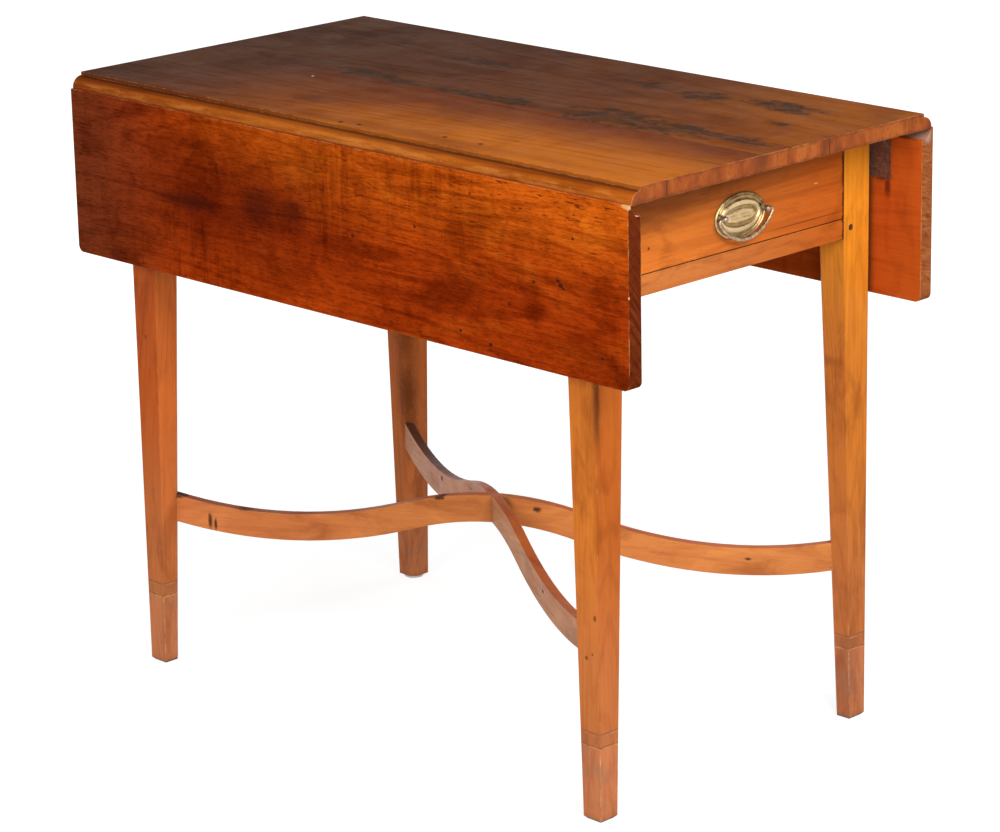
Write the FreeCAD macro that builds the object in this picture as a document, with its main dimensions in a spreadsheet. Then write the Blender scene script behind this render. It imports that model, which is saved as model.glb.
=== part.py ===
import FreeCAD, Part
import math
import os
import re
import Sketcher
from FreeCAD import Placement, Rotation, Vector

# Pembroke table: a small table with two drop leaves on rule joints, an end
# drawer, square tapered legs and a serpentine X stretcher.
# Millimetres. Origin on the floor under the middle of the table, +Z up,
# +X towards the drawer end, +Y towards the right leaf. Both leaves hang down.

doc = FreeCAD.newDocument("PembrokeTable")

# Driving dimensions
SIZES = [
    ("table_height", 711.0),
    ("top_length", 890.0),
    ("top_width", 448.0),          # between the arrises of the two rule joints
    ("board_thick", 18.0),         # top and leaves
    ("rule_fillet", 4.0),          # square step above the quarter round
    ("rule_radius", 13.0),         # quarter round on the top
    ("rule_gap", 0.4),             # clearance between quarter round and cove
    ("leaf_end_gap", 1.0),         # leaf short of the top at each end
    ("leaf_width", 194.5),
    ("leaf_corner", 8.0),
    ("end_overhang", 71.0),        # top beyond the legs at each end
    ("leg_leaf_gap", 5.0),         # hanging leaf to leg
    ("leg_square", 42.0),
    ("foot_square", 25.5),
    ("foot_bevel", 3.0),           # worn lower edges
    ("leg_chamfer", 7.5),          # along the inner arris
    ("apron_height", 124.0),
    ("front_rail_height", 22.5),
    ("rail_thick", 20.0),
    ("rail_setback", 0.5),
    ("side_rail_thick", 14.0),
    ("tenon_thick", 8.0),
    ("tenon_length", 24.0),
    ("tenon_shoulder", 5.0),
    ("joint_gap", 0.15),           # slack round a glued tenon
    ("run_past", 1.0),             # how far a cutter runs past the face it starts from
    ("peg_radius", 3.5),
    ("peg_length", 16.0),
    ("peg_inset", 11.5),           # from the leg's inner edge
    ("string_low", 86.0),          # heights of the two inlaid lines
    ("string_high", 101.0),
    ("string_width", 2.0),
    ("string_depth", 1.0),
    ("pad_radius", 12.0),
    ("pad_thick", 3.5),
    ("pad_nail_radius", 1.5),
    ("pad_nail_length", 14.0),
    ("stretcher_thick", 11.0),
    ("stretcher_depth", 32.5),
    ("stretcher_low", 179.0),      # height of the bar's middle at its dip
    ("stretcher_rise", 41.5),      # crossing above the dip
    ("stretcher_dip_at", 271.0),   # dip from the crossing, along the bar
    ("stretcher_arch", 345.0),     # radius of the middle arch
    ("stretcher_tenon", 14.0),
    ("fly_thick", 20.0),
    ("fly_height", 80.0),
    ("fly_length", 160.0),         # pin to free end
    ("fly_tip_height", 26.0),
    ("fly_block_half", 50.0),
    ("fly_play", 0.4),
    ("fly_pin_radius", 3.0),
    ("pin_play", 0.05),
    ("runner_width", 24.0),
    ("runner_height", 20.0),
    ("screw_radius", 2.2),
    ("screw_head_radius", 4.2),
    ("screw_head_height", 3.0),
    ("screw_bite", 11.0),          # into the top
    ("screw_spacing", 220.0),
    ("screw_pocket_depth", 9.0),
    ("screw_pocket_drop", 34.0),
    ("drawer_depth", 560.0),
    ("drawer_gap", 0.8),           # each side of the opening
    ("drawer_head_gap", 1.5),
    ("drawer_foot_gap", 1.0),      # front above the lower rail
    ("drawer_run_gap", 0.2),       # sides above the runners
    ("drawer_front_thick", 19.0),
    ("drawer_side_thick", 10.0),
    ("drawer_side_drop", 4.0),
    ("drawer_back_thick", 11.0),
    ("drawer_dado", 3.0),
    ("drawer_tail_length", 13.0),
    ("drawer_tail_base", 16.0),
    ("drawer_tail_tip", 22.0),
    ("drawer_bottom_thick", 7.0),
    ("drawer_bottom_up", 9.0),
    ("drawer_groove", 5.0),
    ("pull_offset", 5.0),          # pull right of the drawer's middle
    ("pull_up", 36.0),             # pull above the lower rail
    ("plate_half_width", 40.0),
    ("plate_half_height", 25.0),
    ("plate_thick", 1.2),
    ("plate_bead", 1.6),           # raised line along the rim
    ("plate_bead_inset", 0.6),
    ("plate_bead_height", 0.8),
    ("plate_dome_width", 33.5),    # half width and half height of the raised oval
    ("plate_dome_height", 18.5),
    ("plate_dome_rise", 1.8),
    ("plate_slope", 2.6),          # width of each sloping border
    ("plate_dish_inset", 5.4),     # dish inside the raised oval
    ("plate_dish_depth", 1.2),
    ("plate_boss_width", 23.0),    # half width and half height of the boss in the dish
    ("plate_boss_height", 8.0),
    ("plate_boss_rise", 1.7),
    ("plate_root", 0.1),           # raised work sunk into what it rises from
    ("post_up", 3.0),              # posts above the middle of the plate
    ("post_spacing", 67.0),
    ("post_radius", 3.6),
    ("post_stem_radius", 2.9),
    ("post_reach", 12.0),
    ("post_foot_radius", 4.2),
    ("post_foot_height", 2.5),
    ("post_shank_radius", 2.2),
    ("nut_radius", 5.5),
    ("nut_thick", 4.0),
    ("nut_tail", 2.0),             # shank beyond its nut
    ("bail_radius", 1.5),
    ("bail_swell", 2.4),           # radius in the middle of the bow
    ("bail_half_width", 42.0),
    ("bail_drop", 27.0),
    ("bail_bend", 3.0),
    ("bail_gap", 0.4),
    ("bail_pin_radius", 1.3),
    ("bail_pin_reach", 2.6),
    ("hinge_end", 45.0),           # end of the top to the end hinge
    ("hinge_width", 36.0),
    ("hinge_thick", 2.0),
    ("hinge_top_reach", 32.0),
    ("hinge_leaf_reach", 62.0),
    ("knuckle_radius", 2.9),
    ("hinge_pin_radius", 1.4),
    ("hinge_play", 0.4),
]

# Positions that follow from the driving dimensions
PLACES = [
    ("lip", "rule_fillet + rule_radius"),
    ("leaf_length", "top_length - 2 * leaf_end_gap"),
    ("pin_y", "top_width / 2"),
    ("pin_z", "table_height - lip"),
    ("under_z", "table_height - board_thick"),
    ("pin_depth", "board_thick - lip"),
    ("cove_radius", "rule_radius + rule_gap"),
    ("leaf_inner", "pin_y - pin_depth"),
    ("leg_out_x", "top_length / 2 - end_overhang"),
    ("leg_out_y", "leaf_inner - leg_leaf_gap"),
    ("leg_in_x", "leg_out_x - leg_square"),
    ("leg_in_y", "leg_out_y - leg_square"),
    ("leg_taper", "leg_square - foot_square"),
    ("rail_z", "under_z - apron_height"),
    ("blade_z", "rail_z + front_rail_height"),
    ("rail_out_x", "leg_out_x - rail_setback"),
    ("rail_in_x", "rail_out_x - rail_thick"),
    ("rail_mid_x", "(rail_out_x + rail_in_x) / 2"),
    ("side_rail_out", "leg_in_y + side_rail_thick"),
    ("side_rail_mid", "leg_in_y + side_rail_thick / 2"),
    ("fly_out", "side_rail_out + fly_thick"),
    ("fly_radius", "fly_thick / 2"),
    ("fly_pin_y", "side_rail_out + fly_radius"),
    ("fly_pin_x", "fly_block_half + fly_radius"),
    ("fly_low", "under_z - fly_height"),
    ("finger_low", "fly_low + fly_height / 3"),
    ("finger_high", "fly_low + 2 * fly_height / 3"),
    ("arch_top", "stretcher_low + stretcher_rise"),
    ("arc_sum", "(stretcher_dip_at ^ 2 + stretcher_rise ^ 2) / (2 * stretcher_rise)"),
    ("dip_radius", "arc_sum - stretcher_arch"),
    ("arch_centre", "arch_top - stretcher_arch"),
    ("dip_centre", "stretcher_low + dip_radius"),
    ("bar_half", "stretcher_depth / 2"),
    ("meet_z", "stretcher_low + stretcher_rise / 3"),
    ("meet_width", "leg_square - leg_taper * (rail_z - meet_z) / rail_z"),
    ("meet_x", "leg_out_x - meet_width + leg_chamfer / 2"),
    ("meet_y", "leg_out_y - meet_width + leg_chamfer / 2"),
    ("meet_reach", "sqrt(meet_x ^ 2 + meet_y ^ 2)"),
    ("drawer_half", "leg_in_y - drawer_gap"),
    ("drawer_out_x", "rail_out_x"),
    ("drawer_front_in", "drawer_out_x - drawer_front_thick"),
    ("drawer_back_x", "drawer_out_x - drawer_depth"),
    ("drawer_low", "blade_z + drawer_run_gap"),
    ("drawer_high", "under_z - drawer_head_gap"),
    ("drawer_side_high", "drawer_high - drawer_side_drop"),
    ("drawer_side_in", "drawer_half - drawer_side_thick"),
    ("drawer_floor_low", "drawer_low + drawer_bottom_up"),
    ("drawer_floor_high", "drawer_floor_low + drawer_bottom_thick"),
    ("pull_z", "blade_z + pull_up"),
    ("post_z", "pull_z + post_up"),
    ("bail_x", "drawer_out_x + plate_thick + post_reach - post_radius"),
    ("hinge_half", "hinge_width / 2"),
    ("end_hinge_x", "top_length / 2 - hinge_end - hinge_half"),
]

SHEET_OF = {}


def make_sheet(name, rows, prefix):
    """One sheet: every row is an alias in column A with its value in column B."""
    sheet = doc.addObject("Spreadsheet::Sheet", name)
    for row, (alias, value) in enumerate(rows, start=1):
        sheet.set("A%d" % row, alias)
        sheet.set("B%d" % row, prefix + (value if prefix else str(value)))
        sheet.setAlias("B%d" % row, alias)
        SHEET_OF[alias] = name
    doc.recompute()
    return sheet


def ex(text):
    """Expression text with every alias pointed at its sheet."""
    def full(match):
        word = match.group(0)
        return SHEET_OF[word] + "." + word if word in SHEET_OF else word
    return re.sub(r"[a-z][a-z_]*[a-z]", full, text)


sizes = make_sheet("Sizes", SIZES, "")
places_rows = []
for place, formula in PLACES:
    places_rows.append((place, ex(formula)))
    SHEET_OF[place] = "Places"
places = make_sheet("Places", places_rows, "=")


def value(text):
    """Number that an expression has now."""
    found = places.evalExpression(ex(text))
    return float(getattr(found, "Value", found))


def bind(thing, **bound):
    for prop, text in bound.items():
        thing.setExpression(prop, ex(text))


def place(thing, x="0", y="0", z="0"):
    bind(thing, **{".Placement.Base.x": x, ".Placement.Base.y": y, ".Placement.Base.z": z})


# Small tools for the shapes

def box(name, x, y, z):
    """Block between bound limits; each of x, y and z is a pair (low, high)."""
    block = doc.addObject("Part::Box", name)
    bind(block, Length="(%s) - (%s)" % (x[1], x[0]),
         Width="(%s) - (%s)" % (y[1], y[0]),
         Height="(%s) - (%s)" % (z[1], z[0]))
    place(block, x[0], y[0], z[0])
    return block


def rod(name, radius, length, x, y, z, axis="z"):
    """Cylinder from a bound point along +X, +Y or +Z."""
    bar = doc.addObject("Part::Cylinder", name)
    bind(bar, Radius=radius, Height=length)
    turn = {"x": Rotation(Vector(0, 1, 0), 90), "y": Rotation(Vector(1, 0, 0), -90), "z": Rotation()}
    bar.Placement = Placement(Vector(), turn[axis])
    place(bar, x, y, z)
    return bar


def fuse(name, pieces):
    joined = doc.addObject("Part::MultiFuse", name)
    joined.Shapes = pieces
    joined.Refine = True
    return joined


def cut(name, base, tools):
    if len(tools) > 1:
        tool = doc.addObject("Part::Compound", name + "_cutters")
        tool.Links = tools
    else:
        tool = tools[0]
    result = doc.addObject("Part::Cut", name)
    result.Base = base
    result.Tool = tool
    result.Refine = True
    return result


def common(name, base, tool):
    shared = doc.addObject("Part::Common", name)
    shared.Base = base
    shared.Tool = tool
    return shared


def group(name, pieces):
    together = doc.addObject("Part::Compound", name)
    together.Links = pieces
    return together


def mirror(name, source, across):
    """Mirror image across the plane through the origin with this normal."""
    image = doc.addObject("Part::Mirroring", name)
    image.Source = source
    image.Normal = {"x": Vector(1, 0, 0), "y": Vector(0, 1, 0)}[across]
    return image


QUARTERS = ["front_right", "front_left", "back_right", "back_left"]


def four(name, source):
    """The piece and its images in the other three quarters, in the order above."""
    back = mirror(name + "_back", source, "x")
    left = mirror(name + "_left", source, "y")
    back_left = mirror(name + "_back_left", back, "y")
    return [source, left, back, back_left]


def new_body(name):
    return doc.addObject("PartDesign::Body", name)


def new_sketch(body, name, role, offset="0", turn=0):
    """Empty sketch on one of the body's planes, moved along its normal and turned upright."""
    plane = [f for f in body.Origin.OriginFeatures if f.Role == role][0]
    sketch = body.newObject("Sketcher::SketchObject", name)
    sketch.AttachmentSupport = [(plane, "")]
    sketch.MapMode = "FlatFace"
    sketch.AttachmentOffset = Placement(Vector(), Rotation(Vector(0, 1, 0), turn))
    bind(sketch, **{".AttachmentOffset.Base.z": offset})
    return sketch


def outline(body, name, role, corners, arcs=None, offset="0", turn=0, closed=True):
    """Sketch through bound corners; arcs maps an edge to (radius, way round)."""
    arcs = arcs or {}
    sketch = new_sketch(body, name, role, offset, turn)
    points = [Vector(value(u), value(v), 0) for u, v in corners]
    count = len(points)
    edges = count if closed else count - 1
    ends = []
    for edge in range(edges):
        start, stop = points[edge], points[(edge + 1) % count]
        if edge in arcs:
            radius, way = arcs[edge]
            chord = stop - start
            side = Vector(-chord.y, chord.x, 0).normalize()
            lift = math.sqrt(max(value(radius) ** 2 - chord.Length ** 2 / 4, 0.0))
            centre = (start + stop) * 0.5 + side * (lift if way == "ccw" else -lift)
            first, last = (start, stop) if way == "ccw" else (stop, start)
            low = math.atan2(first.y - centre.y, first.x - centre.x)
            high = math.atan2(last.y - centre.y, last.x - centre.x)
            high += 2 * math.pi if high < low else 0.0
            circle = Part.Circle(centre, Vector(0, 0, 1), value(radius))
            sketch.addGeometry(Part.ArcOfCircle(circle, low, high))
            ends.append((1, 2) if way == "ccw" else (2, 1))
        else:
            sketch.addGeometry(Part.LineSegment(start, stop))
            ends.append((1, 2))
    for edge in range(count if closed else edges - 1):
        after = (edge + 1) % count
        sketch.addConstraint(Sketcher.Constraint("Coincident", edge, ends[edge][1], after, ends[after][0]))
    for corner, (u, v) in enumerate(corners):
        edge, end = (corner, 0) if corner < edges else (corner - 1, 1)
        for kind, text in (("DistanceX", u), ("DistanceY", v)):
            row = sketch.addConstraint(Sketcher.Constraint(kind, -1, 1, edge, ends[edge][end], value(text)))
            bind(sketch, **{"Constraints[%d]" % row: text})
    for edge, (radius, _) in arcs.items():
        row = sketch.addConstraint(Sketcher.Constraint("Radius", edge, value(radius)))
        bind(sketch, **{"Constraints[%d]" % row: radius})
    return sketch


def pad(body, name, sketch, length):
    """Solid from a sketch, along its normal."""
    made = body.newObject("PartDesign::Pad", name)
    made.Profile = sketch
    bind(made, Length=length)
    body.Tip = made
    return made


def pocket(body, name, sketch, length, reverse=False):
    """Cut from a sketch against its normal, or along it when reversed."""
    made = body.newObject("PartDesign::Pocket", name)
    made.Profile = sketch
    made.Reversed = reverse
    bind(made, Length=length)
    body.Tip = made
    return made


SAME_SPOT = 0.01


def edges_near(shape, spots):
    """Names of the edges whose middles lie at the given points."""
    names = []
    for number, edge in enumerate(shape.Edges, start=1):
        middle = edge.valueAt((edge.FirstParameter + edge.LastParameter) / 2)
        if any((middle - spot).Length < SAME_SPOT for spot in spots):
            names.append("Edge%d" % number)
    return names


NODES = []


def node(thing, label):
    """Name a finished sub-part."""
    thing.Label = label
    NODES.append(thing)
    return thing


# Table top with a rule joint along both long edges

def make_top(cutters):
    body = new_body("top_blank")
    tuck = "sqrt(rule_radius ^ 2 - pin_depth ^ 2)"
    corners = [
        ("-pin_y", "table_height"),
        ("-pin_y", "table_height - rule_fillet"),
        ("-pin_y - %s" % tuck, "under_z"),
        ("pin_y + %s" % tuck, "under_z"),
        ("pin_y", "table_height - rule_fillet"),
        ("pin_y", "table_height"),
    ]
    rounds = {1: ("rule_radius", "ccw"), 3: ("rule_radius", "ccw")}
    profile = outline(body, "top_profile", "YZ_Plane", corners, rounds, "-top_length / 2")
    pad(body, "top_pad", profile, "top_length")
    return node(cut("top_cut", body, cutters), "top_board")


# Drop leaf, hanging; its cove turns about the hinge pin

def make_leaf(cutters):
    body = new_body("leaf_blank")
    gap_edge = "sqrt(cove_radius ^ 2 - rule_gap ^ 2)"
    corners = [
        ("pin_y + lip", "pin_z - rule_gap"),
        ("pin_y + %s" % gap_edge, "pin_z - rule_gap"),
        ("pin_y", "pin_z - cove_radius"),
        ("leaf_inner", "pin_z - cove_radius"),
        ("leaf_inner", "pin_z - leaf_width"),
        ("pin_y + lip", "pin_z - leaf_width"),
    ]
    cove = {1: ("cove_radius", "cw")}
    profile = outline(body, "leaf_profile", "YZ_Plane", corners, cove, "-leaf_length / 2")
    pad(body, "leaf_pad", profile, "leaf_length")
    doc.recompute()
    middle = value("leaf_inner + board_thick / 2")
    low = value("pin_z - leaf_width")
    ends = [Vector(side * value("leaf_length / 2"), middle, low) for side in (-1, 1)]
    square = body.Tip
    corner = body.newObject("PartDesign::Fillet", "leaf_corners")
    corner.Base = (square, edges_near(square.Shape, ends))
    bind(corner, Radius="leaf_corner")
    body.Tip = corner
    right = cut("leaf_cut", body, cutters)
    node(right, "leaf_right")
    return node(mirror("leaf_mirror", right, "y"), "leaf_left")


# Strap hinges let in flush under the rule joints

def hinge_span(centre, slack="0"):
    return ("%s - hinge_half - (%s)" % (centre, slack), "%s + hinge_half + (%s)" % (centre, slack))


def make_hinge(tag, centre):
    """Top plate, leaf plate and pin of one hinge, right side."""
    x_low = "%s - hinge_half" % centre
    third = "hinge_width / 3"
    inner = ("%s - hinge_width / 6 - hinge_play" % centre,
             "%s + hinge_width / 6 + hinge_play" % centre)
    bore = rod("hinge_bore" + tag, "hinge_pin_radius + pin_play", "hinge_width + 2 * run_past",
               "%s - run_past" % x_low, "pin_y", "pin_z", "x")
    plate = box("hinge_plate_top" + tag, hinge_span(centre), ("pin_y - hinge_top_reach", "pin_y"),
                ("under_z", "under_z + hinge_thick"))
    first = rod("hinge_knuckle_a" + tag, "knuckle_radius", third, x_low, "pin_y", "pin_z", "x")
    last = rod("hinge_knuckle_b" + tag, "knuckle_radius", third, "%s + hinge_width / 6" % centre,
               "pin_y", "pin_z", "x")
    reach = "(knuckle_radius + hinge_play)"
    slot = box("hinge_slot" + tag, inner, ("pin_y - %s" % reach, "pin_y + %s" % reach),
               ("pin_z - 2 * knuckle_radius", "pin_z + 2 * knuckle_radius"))
    outer_part = fuse("hinge_top_fuse" + tag, [plate, first, last])
    top_side = cut("hinge_top_side" + tag, outer_part, [slot, bore])

    strap = box("hinge_strap" + tag, hinge_span(centre), ("leaf_inner", "leaf_inner + hinge_thick"),
                ("pin_z - hinge_leaf_reach", "pin_z"))
    notches = []
    for side, ends in (("low", (x_low + " - run_past", inner[0] + " + 2 * hinge_play")),
                       ("high", (inner[1] + " - 2 * hinge_play", x_low + " + hinge_width + run_past"))):
        notches.append(box("hinge_notch_" + side + tag, ends,
                           ("pin_y - %s" % reach, "pin_y + %s" % reach),
                           ("pin_z - %s" % reach, "pin_z + run_past")))
    middle = rod("hinge_knuckle_c" + tag, "knuckle_radius", third + " - 2 * hinge_play",
                 "%s - hinge_width / 6 + hinge_play" % centre, "pin_y", "pin_z", "x")
    notched = cut("hinge_strap_cut" + tag, strap, notches)
    inner_part = fuse("hinge_leaf_fuse" + tag, [notched, middle])
    leaf_side = cut("hinge_leaf_side" + tag, inner_part, [bore])
    pin = rod("hinge_pin" + tag, "hinge_pin_radius", "hinge_width", x_low, "pin_y", "pin_z", "x")
    return top_side, leaf_side, pin


def make_hinge_beds(tag, centre):
    """What one hinge takes out of the top and out of the leaf, right side."""
    flat = box("hinge_bed" + tag, hinge_span(centre, "hinge_play"),
               ("pin_y - hinge_top_reach - hinge_play", "pin_y + rule_radius + run_past"),
               ("under_z - run_past", "under_z + hinge_thick + hinge_play"))
    groove = rod("hinge_groove" + tag, "knuckle_radius + hinge_play", "hinge_width + 2 * hinge_play",
                 "%s - hinge_half - hinge_play" % centre, "pin_y", "pin_z", "x")
    leaf_bed = box("leaf_bed" + tag, hinge_span(centre, "hinge_play"),
                   ("leaf_inner - run_past", "leaf_inner + hinge_thick"),
                   ("pin_z - hinge_leaf_reach - hinge_play", "pin_z"))
    return fuse("top_bed" + tag, [flat, groove]), leaf_bed


HINGE_CENTRES = [("_front", "end_hinge_x"), ("_middle", "0"), ("_back", "-end_hinge_x")]


def make_hinges():
    """Hinge groups for both leaves; returns the cutters for the top and the right leaf."""
    tops, straps, pins, top_cutters, leaf_cutters = [], [], [], [], []
    for tag, centre in HINGE_CENTRES:
        top_side, leaf_side, pin = make_hinge(tag, centre)
        tops.append(top_side)
        straps.append(leaf_side)
        pins.append(pin)
        top_bed, leaf_bed = make_hinge_beds(tag, centre)
        top_cutters += [top_bed, mirror("top_bed_left" + tag, top_bed, "y")]
        leaf_cutters.append(leaf_bed)
    kinds = (("hinge_top_plates", tops), ("hinge_leaf_straps", straps), ("hinge_pins", pins))
    for label, solids in kinds:
        right = node(group(label + "_group", solids), label + "_right")
        node(mirror(label + "_mirror", right, "y"), label + "_left")
    return top_cutters, leaf_cutters


# Legs: plumb outside, tapered on the two inner faces, inner arris chamfered, feet worn

def below_foot(low, high):
    """Outline of what lies under a foot whose lower edges are worn off."""
    worn = "foot_bevel + run_past"
    return [
        (high + " + run_past", worn),
        (high + " - foot_bevel", "0"),
        (low + " + foot_bevel", "0"),
        (low + " - run_past", worn),
        (low + " - run_past", "-run_past"),
        (high + " + run_past", "-run_past"),
    ]


def make_leg_blank(name, inset):
    """Front right leg without its joints, every face moved in by the inset."""
    body = new_body(name)
    x_in, x_out = "leg_in_x + %s" % inset, "leg_out_x - %s" % inset
    y_in, y_out = "leg_in_y + %s" % inset, "leg_out_y - %s" % inset
    plan = outline(body, name + "_plan", "XY_Plane",
                   [(x_in, y_in), (x_out, y_in), (x_out, y_out), (x_in, y_out)])
    pad(body, name + "_pad", plan, "under_z")
    side = outline(body, name + "_taper_x", "XZ_Plane",
                   [(x_in, "rail_z"), (x_in, "0"), (x_in + " + leg_taper", "0")])
    pocket(body, name + "_cut_x", side, "leg_out_y")
    face = outline(body, name + "_taper_y", "YZ_Plane",
                   [(y_in, "rail_z"), (y_in + " + leg_taper", "0"), (y_in, "0")])
    pocket(body, name + "_cut_y", face, "leg_out_x", reverse=True)
    flat = "(leg_in_x + leg_in_y + leg_chamfer + sqrt(2) * %s) / sqrt(2)" % inset
    clear = "leg_in_y"
    corner = outline(body, name + "_arris", "XZ_Plane",
                     [(clear, "under_z"), (flat, "under_z"), (flat, "rail_z"),
                      (flat + " + sqrt(2) * leg_taper", "0"), (clear, "0")], turn=45)
    pocket(body, name + "_cut_arris", corner, "leg_out_x", reverse=True)
    worn_x = outline(body, name + "_worn_x", "XZ_Plane", below_foot(x_in + " + leg_taper", x_out))
    pocket(body, name + "_cut_worn_x", worn_x, "leg_out_y")
    worn_y = outline(body, name + "_worn_y", "YZ_Plane", below_foot(y_in + " + leg_taper", y_out))
    pocket(body, name + "_cut_worn_y", worn_y, "leg_out_x", reverse=True)
    return body


def make_strings(blank):
    """Two inlaid lines round the front right leg."""
    core = make_leg_blank("leg_core", "string_depth")
    lines = []
    for tag, height in (("low", "string_low"), ("high", "string_high")):
        slab = box("string_slab_" + tag,
                   ("leg_in_x", "leg_out_x + run_past"),
                   ("leg_in_y", "leg_out_y + run_past"),
                   ("%s - string_width / 2" % height, "%s + string_width / 2" % height))
        band = common("string_band_" + tag, slab, blank)
        lines.append(cut("string_" + tag, band, [core]))
    return group("leg_strings", lines)


def make_legs(blanks, strings, mortises, peg_hole, pad_cutters):
    extra = {"front_right": [peg_hole], "back_right": pad_cutters}
    for quarter, blank, string, holes in zip(QUARTERS, blanks, strings, mortises):
        cutters = [string] + holes + extra.get(quarter, [])
        node(cut("leg_%s_cut" % quarter, blank, cutters), "leg_" + quarter)
    node(group("all_strings", strings), "cuff_stringing")


# Glide nailed under the one foot that stands short

def make_glide():
    body = new_body("glide_body")
    half = outline(body, "glide_profile", "XZ_Plane", [
        ("0", "0"),
        ("pad_radius - pad_thick / 2", "0"),
        ("pad_radius", "pad_thick / 2"),
        ("pad_radius", "pad_thick"),
        ("pad_nail_radius", "pad_thick"),
        ("pad_nail_radius", "pad_thick + pad_nail_length"),
        ("0", "pad_thick + pad_nail_length + pad_nail_radius"),
    ], {1: ("pad_thick / 2", "ccw")})
    turned = body.newObject("PartDesign::Revolution", "glide_turn")
    turned.Profile = half
    turned.ReferenceAxis = (half, ["V_Axis"])
    turned.Angle = 360
    body.Tip = turned
    x, y = "-leg_out_x + foot_square / 2", "leg_out_y - foot_square / 2"
    place(body, x, y)
    node(body, "foot_glide")
    short = box("short_foot", ("-leg_out_x - run_past", "-leg_in_x"),
                ("leg_in_y", "leg_out_y + run_past"), ("-run_past", "pad_thick"))
    nail = rod("glide_nail_hole", "pad_nail_radius + pin_play",
               "pad_nail_length + 2 * pad_nail_radius", x, y, "pad_thick")
    return [short, nail]


# Rails with tenons

def tenon(name, x, y, z):
    """A tenon and the mortise it sits in."""
    slack = [("%s - joint_gap" % low, "%s + joint_gap" % high) for low, high in (x, y, z)]
    return box(name, x, y, z), box(name + "_mortise", *slack)


def make_side_rail():
    """Right inner rail; the drawer slides along it and the top is screwed down through it."""
    board = box("side_rail_board", ("-leg_in_x", "leg_in_x"), ("leg_in_y", "side_rail_out"),
                ("rail_z", "under_z"))
    cheek = ("side_rail_mid - tenon_thick / 2", "side_rail_mid + tenon_thick / 2")
    height = ("rail_z + tenon_shoulder", "under_z - tenon_shoulder")
    stub, mortise = tenon("side_tenon", ("leg_in_x", "leg_in_x + tenon_length"), cheek, height)
    back_stub = mirror("side_tenon_back", stub, "x")
    pockets, screws, holes = [], [], []
    for tag, x in (("back", "-screw_spacing"), ("middle", "0"), ("front", "screw_spacing")):
        head_z = "under_z - screw_pocket_drop"
        y = "leg_in_y + screw_pocket_depth / 2"
        pockets.append(box("screw_pocket_" + tag,
                           (x + " - screw_pocket_depth", x + " + screw_pocket_depth"),
                           ("leg_in_y - run_past", "leg_in_y + screw_pocket_depth"),
                           (head_z + " - 2 * screw_pocket_depth", head_z)))
        holes.append(rod("screw_hole_" + tag, "screw_radius + pin_play",
                         "screw_pocket_drop + screw_bite + 2 * run_past", x, y, head_z + " - run_past"))
        shank = rod("screw_shank_" + tag, "screw_radius", "screw_pocket_drop + screw_bite", x, y, head_z)
        head = rod("screw_head_" + tag, "screw_head_radius", "screw_head_height",
                   x, y, head_z + " - screw_head_height")
        screws.append(fuse("screw_" + tag, [shank, head]))
    right = cut("side_rail_cut", fuse("side_rail_fuse", [board, stub, back_stub]), pockets + holes)
    node(right, "side_rail_right")
    node(mirror("side_rail_mirror", right, "y"), "side_rail_left")
    node(group("all_screws", screws + [mirror(s.Name + "_left", s, "y") for s in screws]), "top_screws")
    return mortise, holes + [mirror(h.Name + "_left", h, "y") for h in holes]


def make_end_rails():
    """Back rail under the top and the low rail under the drawer."""
    cheek = ("rail_mid_x - tenon_thick / 2", "rail_mid_x + tenon_thick / 2")
    reach = ("leg_in_y", "leg_in_y + tenon_length / 2")
    low_height = ("rail_z + tenon_shoulder", "blade_z - tenon_shoulder")
    tall_height = ("rail_z + tenon_shoulder", "under_z - tenon_shoulder")
    low_stub, low_mortise = tenon("front_tenon", cheek, reach, low_height)
    tall_stub, tall_mortise = tenon("back_tenon", cheek, reach, tall_height)
    thick, width = ("rail_in_x", "rail_out_x"), ("-leg_in_y", "leg_in_y")
    blade = box("front_rail_board", thick, width, ("rail_z", "blade_z"))
    front = fuse("front_rail_fuse", [blade, low_stub, mirror("front_tenon_left", low_stub, "y")])
    board = box("back_rail_board", thick, width, ("rail_z", "under_z"))
    back = fuse("back_rail_fuse", [board, tall_stub, mirror("back_tenon_left", tall_stub, "y")])
    node(mirror("back_rail_mirror", back, "x"), "back_rail")

    peg_y, peg_z = "leg_in_y + peg_inset", "rail_z + front_rail_height / 2"
    peg = rod("peg", "peg_radius", "peg_length", "leg_out_x - peg_length", peg_y, peg_z, "x")
    hole = rod("peg_hole", "peg_radius + pin_play", "peg_length + joint_gap + run_past",
               "leg_out_x - peg_length - joint_gap", peg_y, peg_z, "x")
    node(cut("front_rail_cut", front, [hole]), "front_rail")
    node(peg, "front_rail_peg")
    return low_mortise, tall_mortise, hole


# Serpentine X stretcher, half lapped at the crossing and tenoned into the legs

BAR_ANGLE = "atan2(meet_y; meet_x)"


def turn_upright(thing):
    """Turn a piece about Z to lie along the bar; the first turn only sets the axis."""
    thing.Placement = Placement(Vector(), Rotation(Vector(0, 0, 1), 1))
    bind(thing, **{".Placement.Rotation.Angle": BAR_ANGLE})


def turned_box(name, x, y, z):
    """Block along the bar that runs to the front right leg."""
    block = box(name, x, y, z)
    turn_upright(block)
    place(block, "(%s) * cos(%s) - (%s) * sin(%s)" % (x[0], BAR_ANGLE, y[0], BAR_ANGLE),
          "(%s) * sin(%s) + (%s) * cos(%s)" % (x[0], BAR_ANGLE, y[0], BAR_ANGLE), z[0])
    return block


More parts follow.
